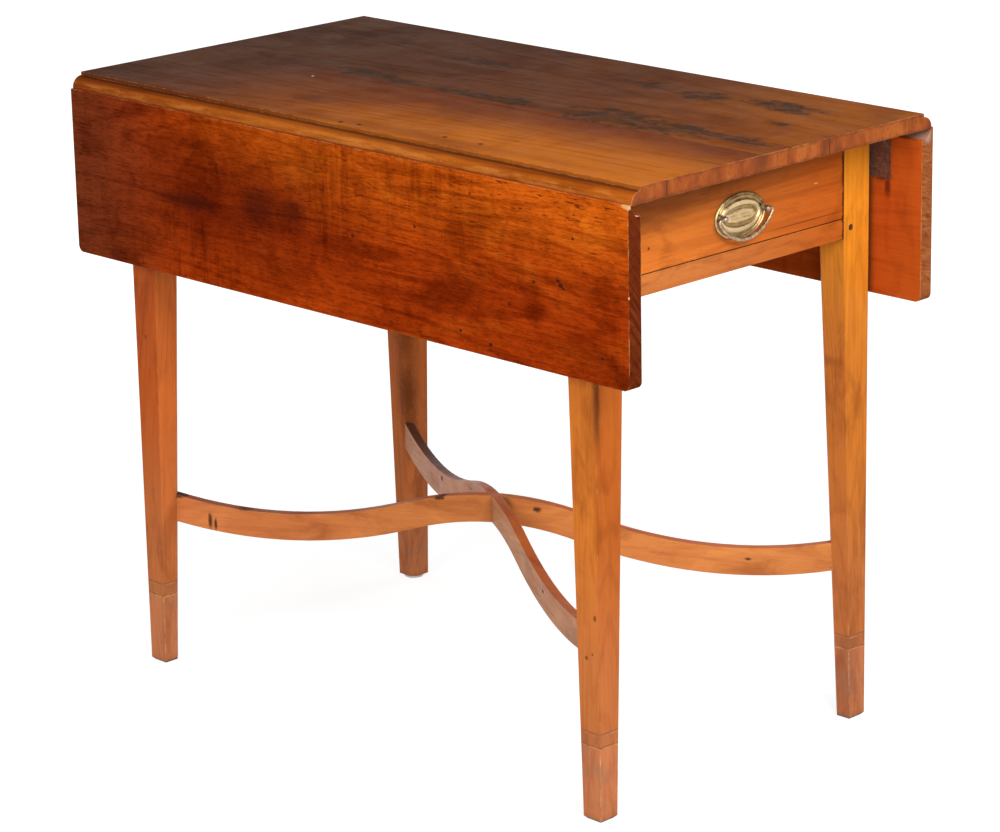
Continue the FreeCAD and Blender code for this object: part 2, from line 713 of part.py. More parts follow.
def make_bar():
    """Bar from the back left to the front right leg, run on into both legs."""
    body = new_body("stretcher_bar")
    run = "meet_reach + leg_chamfer + 2 * run_past"
    lean = "(arc_sum - stretcher_rise) / arc_sum"
    corners, rounds = [], {}
    for edge, sign in (("high", "+"), ("low", "-")):
        arch = "(stretcher_arch %s bar_half)" % sign
        dip = "(dip_radius %s bar_half)" % ("-" if sign == "+" else "+")
        turn_x = arch + " * stretcher_dip_at / arc_sum"
        turn_z = "arch_centre + %s * %s" % (arch, lean)
        end_z = "dip_centre - sqrt(%s ^ 2 - (%s - stretcher_dip_at) ^ 2)" % (dip, run)
        row = [(run, end_z), (turn_x, turn_z), ("-(%s)" % turn_x, turn_z), ("-(%s)" % run, end_z)]
        turns = [(dip, "cw"), (arch, "ccw"), (dip, "cw")]
        if edge == "low":
            row.reverse()
            turns = [(radius, "ccw" if turn == "cw" else "cw") for radius, turn in turns]
        for number, turn in enumerate(turns):
            rounds[len(corners) + number] = turn
        corners += row
    profile = outline(body, "stretcher_profile", "XZ_Plane", corners, rounds, "-stretcher_thick / 2")
    pad(body, "stretcher_pad", profile, "stretcher_thick")
    turn_upright(body)
    return body


def make_stretchers(blanks):
    bar = make_bar()
    other = mirror("stretcher_bar_other", bar, "y")
    along = ("-2 * stretcher_depth", "2 * stretcher_depth")
    across = ("-stretcher_thick / 2", "stretcher_thick / 2")
    low_lap = turned_box("low_lap", along, across, ("arch_top - stretcher_depth", "arch_top"))
    high_lap = turned_box("high_lap", along, across, ("arch_top", "arch_top + stretcher_depth"))
    low_lap = mirror("low_lap_other", low_lap, "y")
    cheek = ("-tenon_thick / 2", "tenon_thick / 2")
    height = ("meet_z - bar_half + tenon_shoulder", "meet_z + bar_half - tenon_shoulder")
    stub = turned_box("stretcher_stub", ("meet_reach - leg_chamfer", "meet_reach + stretcher_tenon"),
                      cheek, height)
    mortise = turned_box("stretcher_mortise",
                         ("meet_reach - 2 * leg_chamfer", "meet_reach + stretcher_tenon + joint_gap"),
                         (cheek[0] + " - joint_gap", cheek[1] + " + joint_gap"),
                         (height[0] + " - joint_gap", height[1] + " + joint_gap"))
    stubs = four("stretcher_stub", stub)
    pairs = (("stretcher_over", bar, low_lap, (0, 3)), ("stretcher_under", other, high_lap, (1, 2)))
    for label, long_bar, lap, ends in pairs:
        coped = cut(label + "_coped", long_bar, [lap] + [blanks[end] for end in ends])
        node(fuse(label + "_fuse", [coped] + [stubs[end] for end in ends]), label)
    return four("stretcher_mortise", mortise)


# Fly brackets on wooden knuckles, folded against the side rails

def make_flies():
    thick = ("side_rail_out", "fly_out")
    block = box("fly_block_box", ("-fly_block_half", "fly_block_half"), thick, ("fly_low", "under_z"))
    fingers = [("low", "fly_low", "finger_low"), ("high", "finger_high", "under_z")]
    knuckles, clear_bracket = [], []
    for tag, low, high in fingers:
        tall = "%s - %s" % (high, low)
        knuckle = rod("fly_finger_" + tag, "fly_radius", tall, "fly_pin_x", "fly_pin_y", low)
        bridge = box("fly_bridge_" + tag, ("fly_block_half - run_past", "fly_pin_x"), thick, (low, high))
        knuckles += [knuckle, bridge]
        from_z = low + (" - fly_play" if tag == "high" else "")
        clear_bracket.append(rod("fly_clear_" + tag, "fly_radius + fly_play", tall + " + fly_play",
                                 "fly_pin_x", "fly_pin_y", from_z))
    bore = rod("fly_bore", "fly_pin_radius + pin_play", "fly_height + 2 * run_past",
               "fly_pin_x", "fly_pin_y", "fly_low - run_past")
    clear_block = rod("fly_clear_middle", "fly_radius + fly_play", "fly_height / 3",
                      "fly_pin_x", "fly_pin_y", "finger_low")
    front_half = fuse("fly_knuckles", knuckles)
    solid = fuse("fly_block_fuse", [block, front_half, mirror("fly_knuckles_back", front_half, "x")])
    cutters = [bore, clear_block]
    right = cut("fly_block_cut", solid, cutters + [mirror(c.Name + "_back", c, "x") for c in cutters])
    node(right, "fly_block_right")
    node(mirror("fly_block_mirror", right, "y"), "fly_block_left")

    body = new_body("fly_bracket_body")
    top, low = "under_z - fly_play", "fly_low + fly_play"
    bend = "(fly_height - fly_tip_height)"
    corners = [
        ("fly_pin_x", top),
        ("fly_pin_x", low),
        ("fly_pin_x + fly_length - %s - fly_tip_height" % bend, low),
        ("fly_pin_x + fly_length - fly_tip_height", low + " + " + bend),
        ("fly_pin_x + fly_length", low + " + " + bend),
        ("fly_pin_x + fly_length", top),
    ]
    profile = outline(body, "fly_profile", "XZ_Plane", corners, {2: (bend, "ccw")}, "-fly_out")
    pad(body, "fly_pad", profile, "fly_thick - fly_play")
    round_end = rod("fly_round", "fly_radius - fly_play", "fly_height / 3 - 2 * fly_play",
                    "fly_pin_x", "fly_pin_y", "finger_low + fly_play")
    bracket = cut("fly_bracket_cut", fuse("fly_bracket_fuse", [body, round_end]), clear_bracket + [bore])
    for image, quarter in zip(four("fly_bracket", bracket), QUARTERS):
        node(image, "fly_bracket_" + quarter)
    pin = rod("fly_pin", "fly_pin_radius", "fly_height - 2 * fly_play",
              "fly_pin_x", "fly_pin_y", "fly_low + fly_play")
    node(group("fly_pin_group", four("fly_pin", pin)), "fly_pins")


# Drawer runners

def make_runners():
    right = box("runner", ("-rail_in_x", "rail_in_x"), ("leg_in_y - runner_width", "leg_in_y"),
                ("blade_z - runner_height", "blade_z"))
    node(right, "drawer_runner_right")
    node(mirror("runner_mirror", right, "y"), "drawer_runner_left")


# Drawer with half blind dovetails at the front

POST_SIDES = [("right", "+"), ("left", "-")]


def make_drawer_side():
    """Right side with its tails reaching into the front."""
    body = new_body("drawer_side_body")
    height = "(drawer_side_high - drawer_low)"
    corners = [("drawer_back_x", "drawer_low"), ("drawer_front_in", "drawer_low")]
    for share in ("1 / 6", "3 / 6", "5 / 6"):
        middle = "drawer_low + %s * %s" % (height, share)
        tip = "drawer_front_in + drawer_tail_length"
        corners += [
            ("drawer_front_in", middle + " - drawer_tail_base / 2"),
            (tip, middle + " - drawer_tail_tip / 2"),
            (tip, middle + " + drawer_tail_tip / 2"),
            ("drawer_front_in", middle + " + drawer_tail_base / 2"),
        ]
    corners += [("drawer_front_in", "drawer_side_high"), ("drawer_back_x", "drawer_side_high")]
    profile = outline(body, "drawer_side_profile", "XZ_Plane", corners, None, "-drawer_half")
    pad(body, "drawer_side_pad", profile, "drawer_side_thick")
    return body


def make_drawer():
    side = make_drawer_side()
    other = mirror("drawer_side_other", side, "y")
    floor = ("drawer_floor_low - joint_gap", "drawer_floor_high + joint_gap")
    groove = box("drawer_side_groove", ("drawer_back_x - run_past", "drawer_front_in"),
                 ("drawer_side_in - run_past", "drawer_side_in + drawer_groove + joint_gap"), floor)
    back_x = ("drawer_back_x + drawer_back_thick", "drawer_back_x + 2 * drawer_back_thick")
    dado = box("drawer_dado_cut", (back_x[0] + " - joint_gap", back_x[1] + " + joint_gap"),
               ("drawer_side_in - run_past", "drawer_side_in + drawer_dado + joint_gap"),
               ("drawer_floor_high", "drawer_high"))
    right = cut("drawer_side_cut", side, [groove, dado])
    node(right, "drawer_side_right")
    node(mirror("drawer_side_mirror", right, "y"), "drawer_side_left")

    board = box("drawer_front_board", ("drawer_front_in", "drawer_out_x"), ("-drawer_half", "drawer_half"),
                ("blade_z + drawer_foot_gap", "drawer_high"))
    half_floor = "drawer_side_in + drawer_groove"
    slot = box("drawer_front_groove",
               ("drawer_front_in - run_past", "drawer_front_in + drawer_groove + joint_gap"),
               ("-drawer_side_in", "drawer_side_in"), floor)
    posts = []
    for tag, sign in POST_SIDES:
        posts.append(rod("post_hole_" + tag, "post_shank_radius + pin_play",
                         "drawer_front_thick + 2 * run_past", "drawer_front_in - run_past",
                         "pull_offset %s post_spacing / 2" % sign, "post_z", "x"))
    node(cut("drawer_front_cut", board, [side, other, slot] + posts), "drawer_front")

    back_y = ("-drawer_side_in - drawer_dado", "drawer_side_in + drawer_dado")
    back = box("drawer_back_board", back_x, back_y,
               ("drawer_floor_high + joint_gap", "drawer_side_high - drawer_side_drop"))
    node(back, "drawer_back")
    sheet = ("drawer_floor_low", "drawer_floor_high")
    panel = box("drawer_bottom_board", (back_x[0], "drawer_front_in"),
                ("-(%s)" % half_floor, half_floor), sheet)
    tongue = box("drawer_bottom_tongue", ("drawer_front_in - run_past", "drawer_front_in + drawer_groove"),
                 ("-drawer_side_in + joint_gap", "drawer_side_in - joint_gap"), sheet)
    node(fuse("drawer_bottom_fuse", [panel, tongue]), "drawer_bottom")


# Oval brass pull

def oval_line(name, half_width, half_height, x):
    """Upright oval in front of the drawer."""
    line = doc.addObject("Part::Ellipse", name)
    bind(line, MajorRadius=half_width, MinorRadius=half_height)
    upright = Rotation(Vector(0, 1, 0), Vector(0, 0, 1), Vector(1, 0, 0), "ZXY")
    line.Placement = Placement(Vector(), upright)
    place(line, x, "pull_offset", "pull_z")
    return line


def oval_block(name, size, x, inset_back="0", inset_front="0"):
    """Solid between two ovals: size is (half width, half height), x is (back, front)."""
    ovals = []
    for tag, at, inset in (("back", x[0], inset_back), ("front", x[1], inset_front)):
        half_width, half_height = ["%s - (%s)" % (half, inset) for half in size]
        ovals.append(oval_line("%s_%s" % (name, tag), half_width, half_height, at))
    block = doc.addObject("Part::Loft", name)
    block.Sections = ovals
    block.Ruled = True
    block.Solid = True
    return block


def make_plate(holes):
    """Flat oval with a beaded rim, a raised oval, a dish in it and a boss in the dish."""
    whole = ("plate_half_width", "plate_half_height")
    dome = ("plate_dome_width", "plate_dome_height")
    boss = ("plate_boss_width", "plate_boss_height")
    face = "drawer_out_x + plate_thick"
    sunk = face + " - plate_root"
    base = oval_block("plate_base", whole, ("drawer_out_x", face))
    bead_x = (sunk, face + " + plate_bead_height")
    bead = oval_block("plate_bead_outer", whole, bead_x, "plate_bead_inset", "plate_bead_inset")
    inner = "plate_bead_inset + plate_bead"
    bead_hole = oval_block("plate_bead_inner", whole, (sunk + " - run_past", bead_x[1] + " + run_past"),
                           inner, inner)
    raised = oval_block("plate_raised", dome, (sunk, face + " + plate_dome_rise"), "0", "plate_slope")
    dish_floor = face + " + plate_dome_rise - plate_dish_depth"
    dish = oval_block("plate_dish", dome, (dish_floor, face + " + plate_dome_rise"),
                      "plate_dish_inset + plate_slope", "plate_dish_inset")
    boss_x = (dish_floor + " - plate_root", dish_floor + " + plate_boss_rise")
    button = oval_block("plate_boss", boss, boss_x, "0", "plate_slope")
    rim = cut("plate_bead_ring", bead, [bead_hole])
    dished = cut("plate_dished", raised, [dish])
    solid = fuse("plate_fuse", [base, rim, dished, button])
    return node(cut("plate_cut", solid, holes), "pull_backplate")


def make_pull():
    seat = "drawer_out_x + plate_thick"
    holes, posts, nuts = [], [], []
    for tag, sign in POST_SIDES:
        y = "pull_offset %s post_spacing / 2" % sign
        holes.append(rod("plate_hole_" + tag, "post_foot_radius + pin_play", "plate_dome_rise + run_past",
                         seat, y, "post_z", "x"))
        holes.append(rod("plate_shank_hole_" + tag, "post_shank_radius + pin_play",
                         "plate_thick + 2 * run_past", seat + " - plate_thick - run_past", y, "post_z", "x"))
        shank = rod("post_shank_" + tag, "post_shank_radius",
                    "drawer_front_thick + plate_thick + nut_thick + nut_tail",
                    "drawer_front_in - nut_thick - nut_tail", y, "post_z", "x")
        foot = rod("post_foot_" + tag, "post_foot_radius", "post_foot_height", seat, y, "post_z", "x")
        stem = rod("post_stem_" + tag, "post_stem_radius", "post_reach - post_radius",
                   seat, y, "post_z", "x")
        head = doc.addObject("Part::Sphere", "post_head_" + tag)
        bind(head, Radius="post_radius")
        place(head, "bail_x", y, "post_z")
        eye_depth = "(bail_pin_reach + bail_gap)"
        eye_from = {"+": " + post_radius - " + eye_depth, "-": " - post_radius - run_past"}[sign]
        eye = rod("post_eye_" + tag, "bail_pin_radius + 2 * pin_play", eye_depth + " + run_past",
                  "bail_x", y + eye_from, "post_z", "y")
        posts.append(cut("post_" + tag, fuse("post_fuse_" + tag, [shank, foot, stem, head]), [eye]))
        nut = doc.addObject("Part::Prism", "nut_" + tag)
        nut.Polygon = 6
        bind(nut, Circumradius="nut_radius", Height="nut_thick")
        nut.Placement = Placement(Vector(), Rotation(Vector(0, 1, 0), 90))
        place(nut, "drawer_front_in - nut_thick", y, "post_z")
        bore = rod("nut_bore_" + tag, "post_shank_radius + pin_play", "nut_thick + 2 * run_past",
                   "drawer_front_in - nut_thick - run_past", y, "post_z", "x")
        nuts.append(cut("nut_cut_" + tag, nut, [bore]))
    make_plate(holes)
    node(group("post_group", posts), "pull_posts")
    node(group("nut_group", nuts), "pull_nuts")


def bail_ring(body, name, offset, drop, radius):
    """Round section of the bail, square to Y, this far below the pins."""
    ring = new_sketch(body, name, "XZ_Plane", offset)
    centre = Vector(0, -value(drop), 0)
    ring.addGeometry(Part.Circle(centre, Vector(0, 0, 1), value(radius)))
    for kind, text in (("DistanceX", "0"), ("DistanceY", "-(%s)" % drop)):
        row = ring.addConstraint(Sketcher.Constraint(kind, -1, 1, 0, 3, value(text)))
        bind(ring, **{"Constraints[%d]" % row: text})
    row = ring.addConstraint(Sketcher.Constraint("Radius", 0, value(radius)))
    bind(ring, **{"Constraints[%d]" % row: radius})
    return ring


def make_bail():
    """Swinging handle, hanging; its ends turn in and enter the posts from outside."""
    body = new_body("bail_body")
    start = "(post_spacing / 2 + post_radius + bail_gap)"
    turn_y = "(bail_half_width - bail_bend)"
    low = "(bail_drop - 2 * bail_bend)"
    span = "((%s ^ 2 + %s ^ 2) / (2 * %s))" % (turn_y, low, low)
    bow = "(%s + bail_bend)" % span
    meet_y = "%s * %s / %s" % (turn_y, bow, span)
    meet_z = "%s - bail_drop - (%s - %s) * %s / %s" % (bow, span, low, bow, span)
    corners = [(start, "0"), (turn_y, "0"), (meet_y, meet_z),
               ("-(%s)" % meet_y, meet_z), ("-" + turn_y, "0"), ("-(%s)" % start, "0")]
    rounds = {1: ("bail_bend", "cw"), 2: (bow, "cw"), 3: ("bail_bend", "cw")}
    path = outline(body, "bail_path", "YZ_Plane", corners, rounds, closed=False)
    rings = [bail_ring(body, "bail_start", "-(%s)" % start, "0", "bail_radius"),
             bail_ring(body, "bail_middle", "0", "bail_drop", "bail_swell"),
             bail_ring(body, "bail_stop", start, "0", "bail_radius")]
    doc.recompute()
    wire = body.newObject("PartDesign::AdditivePipe", "bail_pipe")
    wire.Profile = rings[0]
    wire.Sections = rings[1:]
    wire.Transformation = "Multisection"
    wire.Spine = (path, ["Edge%d" % number for number in range(1, len(corners))])
    body.Tip = wire
    place(body, "bail_x", "pull_offset", "post_z")
    pins = []
    reach = "bail_pin_reach + bail_gap + bail_radius"
    for tag, y in (("right", "pull_offset + post_spacing / 2 + post_radius - bail_pin_reach"),
                   ("left", "pull_offset - %s - bail_radius" % start)):
        pins.append(rod("bail_pin_" + tag, "bail_pin_radius", reach, "bail_x", y, "post_z", "y"))
    node(fuse("bail_fuse", [body] + pins), "pull_bail")


def finish():
    doc.recompute()
    faults = [o.Name for o in doc.Objects if "Invalid" in o.State or "Error" in o.State]
    if faults:
        raise RuntimeError("not computed: " + ", ".join(faults))
    os.makedirs("parts", exist_ok=True)
    for thing in NODES:
        if thing.Shape.isNull() or not thing.Shape.isValid() or not thing.Shape.Solids:
            raise RuntimeError("bad shape: " + thing.Label)
        thing.Shape.exportStep("parts/%s.step" % thing.Label)


top_beds, leaf_beds = make_hinges()
side_mortise, top_holes = make_side_rail()
front_mortise, back_mortise, front_peg_hole = make_end_rails()
make_top(top_beds + top_holes)
make_leaf(leaf_beds)

leg_blank = make_leg_blank("leg_blank", "0")
leg_blanks = four("leg_blank", leg_blank)
leg_strings = four("leg_strings", make_strings(leg_blank))
stretcher_mortises = make_stretchers(leg_blanks)
side_mortises = four("side_mortise", side_mortise)
front_mortises = [front_mortise, mirror("front_mortise_left", front_mortise, "y")]
back_right = mirror("back_mortise_right", back_mortise, "x")
back_mortises = [back_right, mirror("back_mortise_left", back_right, "y")]
end_mortises = front_mortises + back_mortises
leg_mortises = [list(three) for three in zip(side_mortises, end_mortises, stretcher_mortises)]
make_legs(leg_blanks, leg_strings, leg_mortises, front_peg_hole, make_glide())

make_flies()
make_runners()
make_drawer()
make_pull()
make_bail()
finish()
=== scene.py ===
import math

import bmesh
import bpy
from mathutils import Matrix, Vector


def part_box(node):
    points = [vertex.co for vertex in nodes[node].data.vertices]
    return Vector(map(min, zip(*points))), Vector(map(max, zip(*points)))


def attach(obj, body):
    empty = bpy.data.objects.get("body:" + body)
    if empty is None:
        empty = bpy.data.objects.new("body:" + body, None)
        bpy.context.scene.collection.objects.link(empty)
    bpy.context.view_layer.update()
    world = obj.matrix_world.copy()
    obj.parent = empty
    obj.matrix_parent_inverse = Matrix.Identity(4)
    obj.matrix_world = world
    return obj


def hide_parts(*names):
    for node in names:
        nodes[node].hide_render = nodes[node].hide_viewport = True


# Old cherry pembroke table: hanging leaves, an end drawer with an oval brass
# pull, tapered legs with inlaid cuffs and a serpentine X stretcher.
# Metres, floor at z 0, +X towards the drawer end, +Y towards the right leaf.

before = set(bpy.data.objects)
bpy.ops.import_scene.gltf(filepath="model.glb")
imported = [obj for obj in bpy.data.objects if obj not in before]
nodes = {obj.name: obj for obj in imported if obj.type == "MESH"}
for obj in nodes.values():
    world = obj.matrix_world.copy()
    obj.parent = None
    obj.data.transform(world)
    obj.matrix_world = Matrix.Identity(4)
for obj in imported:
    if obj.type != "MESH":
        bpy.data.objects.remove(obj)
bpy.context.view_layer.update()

# Places read from the frame

KNUCKLE = 0.0029                                 # radius of a hinge knuckle
STEP_DEPTH = 0.0041                              # square step between the top and its quarter round
TOP_LOW, TOP_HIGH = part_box("top_board")
LEAF_LOW, LEAF_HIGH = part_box("leaf_right")
LEG_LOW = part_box("leg_front_right")[0]
DRAWER_LOW, DRAWER_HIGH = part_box("drawer_front")
STRAP_LOW, STRAP_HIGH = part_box("hinge_leaf_straps_right")
HINGE_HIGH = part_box("hinge_top_plates_right")[1]
PLATE_LOW, PLATE_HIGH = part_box("pull_backplate")
CUFF_LOW, CUFF_HIGH = (corner.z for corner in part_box("cuff_stringing"))
PIN_Z = STRAP_HIGH.z - KNUCKLE                   # hinge pins
ARRIS_Y = HINGE_HIGH.y - KNUCKLE                 # hinge pins, and the top's edge straight above them
STRAP_Y = ARRIS_Y - (PIN_Z - TOP_LOW.z)          # face of a hanging leaf that shows the straps
STEP_Z = TOP_HIGH.z - STEP_DEPTH                 # where the quarter round begins
BAR_ANGLE = math.atan2(LEG_LOW.y, LEG_LOW.x)     # the stretcher's bars against the table's length


# Nodes, colours and patterns

def add_node(tree, kind, inputs=None, **settings):
    """New node of a tree; each input gets a link from another node or a constant."""
    made = tree.nodes.new(kind)
    for name, value in settings.items():
        setattr(made, name, value)
    for key, value in (inputs or {}).items():
        if isinstance(value, bpy.types.NodeSocket):
            tree.links.new(value, made.inputs[key])
        else:
            made.inputs[key].default_value = value
    return made


def colour(value):
    """A three part colour gets its fourth part; sockets pass through."""
    if isinstance(value, tuple) and len(value) == 3:
        return (*value, 1.0)
    return value


def along(axis, squeeze):
    """Scale that draws a pattern out along one axis."""
    return tuple(squeeze if letter == axis else 1.0 for letter in "xyz")


NOWHERE = (0.0, 0.0, 0.0)


class Finish:
    """One node material, made by short calls that pass sockets about."""

    def __init__(self, name):
        self.material = bpy.data.materials.new(name)
        self.material.use_nodes = True
        self.tree = self.material.node_tree
        self.tree.nodes.clear()
        self.shader = self.add("ShaderNodeBsdfPrincipled")
        self.add("ShaderNodeOutputMaterial", {0: self.shader.outputs[0]})
        coordinates = self.add("ShaderNodeTexCoord")
        self.place = coordinates.outputs["Object"]
        self.facing = self.split(coordinates.outputs["Normal"])
        self.x, self.y, self.z = self.split(self.place)

    def add(self, kind, inputs=None, **settings):
        return add_node(self.tree, kind, inputs, **settings)

    def split(self, vector):
        return self.add("ShaderNodeSeparateXYZ", {0: vector}).outputs

    def maths(self, operation, first, second=0.0):
        return self.add("ShaderNodeMath", {0: first, 1: second}, operation=operation).outputs[0]

    def vectors(self, operation, first, second=NOWHERE):
        return self.add("ShaderNodeVectorMath", {0: first, 1: second}, operation=operation).outputs

    def times(self, first, *others):
        for other in others:
            first = self.maths("MULTIPLY", first, other)
        return first

    def plus(self, first, *others):
        for other in others:
            first = self.maths("ADD", first, other)
        return first

    def most(self, first, *others):
        for other in others:
            first = self.maths("MAXIMUM", first, other)
        return first

    def ease(self, value, start, stop, low=0.0, high=1.0):
        """Smooth step of a value from start to stop; start may be the larger."""
        ends = (stop, start, high, low) if start > stop else (start, stop, low, high)
        inputs = {0: value, **dict(enumerate(ends, 1))}
        return self.add("ShaderNodeMapRange", inputs, interpolation_type="SMOOTHSTEP").outputs[0]

    def mix(self, share, first, second, blend="MIX"):
        inputs = {0: share, 6: colour(first), 7: colour(second)}
        return self.add("ShaderNodeMix", inputs, data_type="RGBA", blend_type=blend).outputs[2]

    def lay(self, tone, cover, *masks):
        """The cover colour over a tone, as strong as the masks multiplied."""
        return self.mix(self.times(*masks), tone, cover)

    def tint(self, tone, factor, *masks):
        """A tone times a colour factor, as strong as the masks multiplied."""
        return self.mix(self.times(*masks), tone, factor, "MULTIPLY")

    def ramp(self, value, *stops):
        """Colour ramp; each stop is (place, colour)."""
        made = self.add("ShaderNodeValToRGB", {0: value})
        elements = made.color_ramp.elements
        while len(elements) < len(stops):
            elements.new(0.5)
        for element, (at, tone) in zip(elements, stops):
            element.position = at
            element.color = colour(tone)
        return made.outputs[0]

    def three_tones(self, value, tones, low=0.34, high=0.66):
        """Dark, middle and light tone of a mottled surface."""
        return self.ramp(value, (low, tones[0]), (0.5, tones[1]), (high, tones[2]))

    def stretch(self, scale, turn=0.0, shift=NOWHERE):
        """Object place turned about Z, moved, then stretched by axis."""
        inputs = {"Vector": self.place, "Location": shift, "Rotation": (0.0, 0.0, -turn)}
        turned = self.add("ShaderNodeMapping", inputs, vector_type="POINT")
        return self.vectors("MULTIPLY", turned.outputs[0], scale)[0]

    def noise(self, scale, detail=3.0, rough=0.55, bend=0.0, place=None):
        """Noise over the object place, or over another one."""
        inputs = {"Vector": place or self.place, "Scale": scale, "Detail": detail,
                  "Roughness": rough, "Distortion": bend}
        return self.add("ShaderNodeTexNoise", inputs).outputs[0]

    def drawn(self, axis, squeeze, *settings, turn=0.0, shift=NOWHERE):
        """Noise drawn out along one axis."""
        return self.noise(*settings, place=self.stretch(along(axis, squeeze), turn, shift))

    def waver(self, scale, reach, *settings):
        """Noise about zero, to make a straight border uneven."""
        return self.times(self.plus(self.noise(scale, *settings), -0.5), reach)

    def cells(self, scale):
        """Distance to the nearest scattered point, and that point's own random number."""
        inputs = {"Vector": self.place, "Scale": scale}
        points = self.add("ShaderNodeTexVoronoi", inputs, voronoi_dimensions="3D").outputs
        return points["Distance"], self.split(points["Color"])[0]

    def spot(self, centre, half, ragged=0.0, soft=0.5, torn=None):
        """Mask of a ragged oval mark; an axis with no half size runs right through."""
        offset = self.vectors("SUBTRACT", self.place, centre)[0]
        shrink = [1.0 / size if size else 0.0 for size in half]
        reach = self.vectors("LENGTH", self.vectors("MULTIPLY", offset, shrink)[0])["Value"]
        if ragged:
            if torn is None:
                torn = self.noise(2.2 / min(size for size in half if size), 4.0, 0.65)
            reach = self.plus(reach, self.times(self.plus(torn, -0.5), ragged))
        return self.ease(reach, 1.0 + soft, 1.0 - soft)

    def spots(self, rows, ragged=0.0, soft=0.5, torn=None):
        """Mask of several marks; each row is (centre, half sizes)."""
        mask = 0.0
        for centre, half in rows:
            mask = self.most(self.spot(centre, half, ragged, soft, torn), mask)
        return mask

    def eased(self, reach):
        """Surface normal with the arrises rounded."""
        return self.add("ShaderNodeBevel", {"Radius": reach}, samples=4).outputs[0]

    def worn_edge(self, reach, noise_scale, bare):
        """Mask of rubbed arrises, broken up along their length."""
        flat = self.add("ShaderNodeNewGeometry").outputs["Normal"]
        agree = self.vectors("DOT_PRODUCT", self.eased(reach), flat)["Value"]
        patchy = self.ease(self.noise(noise_scale, 4.0, 0.7), bare - 0.1, bare + 0.14)
        return self.times(self.ease(agree, 0.985, 0.86), patchy)

    def occluded_hollows(self, reach, depth=0.9):
        """Mask of inside corners and gaps from ambient occlusion: on wood it lays painted shade there, on
        brass its patina in the hollows.
        """
        open_sky = self.add("ShaderNodeAmbientOcclusion", {"Distance": reach}, samples=4)
        return self.ease(open_sky.outputs["AO"], depth, depth - 0.6)

    def bump(self, height, distance, strength, under=None):
        inputs = {"Height": height, "Distance": distance, "Strength": strength}
        if under is not None:
            inputs["Normal"] = under
        return self.add("ShaderNodeBump", inputs).outputs[0]

    def dress(self, base, rough, normal, **constants):
        """Finish the shader: linked colour, roughness and normal, constants on their own sockets."""
        for name, socket in (("Base Color", base), ("Roughness", rough), ("Normal", normal)):
            self.tree.links.new(socket, self.shader.inputs[name])
        for name, value in constants.items():
            self.shader.inputs[name.replace("_", " ")].default_value = value
        return self.material


# Wood

DEEPER = (0.60, 0.52, 0.50)
PLAIN = (1.0, 1.0, 1.0)
BRIGHTER = (1.22, 1.34, 1.30)
GOLDEN = (1.16, 1.55, 1.60)
PALE_WEAR = (0.66, 0.32, 0.12)
# Dirt in holes and knocks, and painted shade where it follows the occlusion mask
DIRT_AND_SHADE = (0.030, 0.012, 0.006)
EASED_ARRIS = 0.0012

# Sheen of each wood: strength of its mirror shine, then its roughness
TOP_SHEEN = (0.0015, 0.34)
LEAF_SHEEN = (0.002, 0.33)
FRAME_SHEEN = (0.05, 0.38)
STRETCHER_SHEEN = (0.05, 0.36)
PINE_SHEEN = (0.05, 0.62)


def figure(finish, axis, coarse, seed=0.0, turn=0.0):
    """Patterns of one board, each from 0 to 1: shade, growth lines, fibre and pores."""
    shift = (seed, seed * 0.7, seed * 1.3)

    def field(squeeze, *settings):
        return finish.drawn(axis, squeeze, *settings, turn=turn, shift=shift)

    shade = field(0.22, coarse, 5.0, 0.6, 0.5)
    rings = field(0.13, coarse * 0.7, 2.0, 0.5, 0.3)
    lines = finish.ease(finish.maths("SINE", finish.times(rings, 130.0)), 0.2, 1.0)
    fibre = field(0.03, 330.0, 4.0, 0.65)
    pores = finish.ease(field(0.08, 460.0, 2.0, 0.5), 0.60, 0.68)
    return shade, lines, fibre, pores


def figured(finish, tone, pattern, depth=1.0, rings=0.10):
    """The tone shaded by the board's patterns."""
    shade, lines, fibre, pores = pattern
    value = finish.plus(finish.times(shade, 0.62), finish.times(fibre, 0.38),
                        finish.times(lines, -rings), finish.times(pores, -0.10), 0.035)
    return finish.tint(tone, finish.three_tones(value, (DEEPER, PLAIN, BRIGHTER)), depth)


def blotches(finish, scale, low=0.5, high=0.66):
    """Uneven dark clouds of old varnish and handling."""
    return finish.ease(finish.noise(scale, 5.0, 0.6, 0.8), low, high)


def dents(finish, scale, kept, size):
    """Scattered small knocks; kept is the share of points that show."""
    distance, chance = finish.cells(scale)
    ragged = finish.plus(distance, finish.times(finish.noise(scale * 9.0, 2.0), 0.12))
    knocks = finish.ease(ragged, size + 0.05, size - 0.03)
    return finish.times(knocks, finish.ease(chance, kept + 0.01, kept))


def end_grain(finish):
    """Mask of the sawn ends of boards that run along the table."""
    return finish.ease(finish.maths("ABSOLUTE", finish.facing[0]), 0.6, 0.8)


def varnish(finish, base, pattern, knocks, sheen):
    """Old shellac over the wood: soft gloss, open pores, knocks and faint plane ripples."""
    shine, gloss = sheen
    _, lines, fibre, pores = pattern
    hazy = finish.noise(24.0, 4.0, 0.6)
    rough = finish.plus(finish.ease(hazy, 0.3, 0.7, gloss - 0.06, gloss + 0.1),
                        finish.times(pores, 0.18), finish.times(knocks, 0.2))
    ripples = finish.noise(26.0, 2.0, 0.5)
    wave = finish.bump(ripples, 0.0016, 0.5, finish.eased(EASED_ARRIS))
    height = finish.plus(finish.times(fibre, 0.5), finish.times(lines, -0.15),
                         finish.times(pores, -0.6), finish.times(knocks, -2.5))
    fine = finish.bump(height, 0.0003, 0.5, wave)
    return finish.dress(base, rough, fine, Specular_IOR_Level=shine)
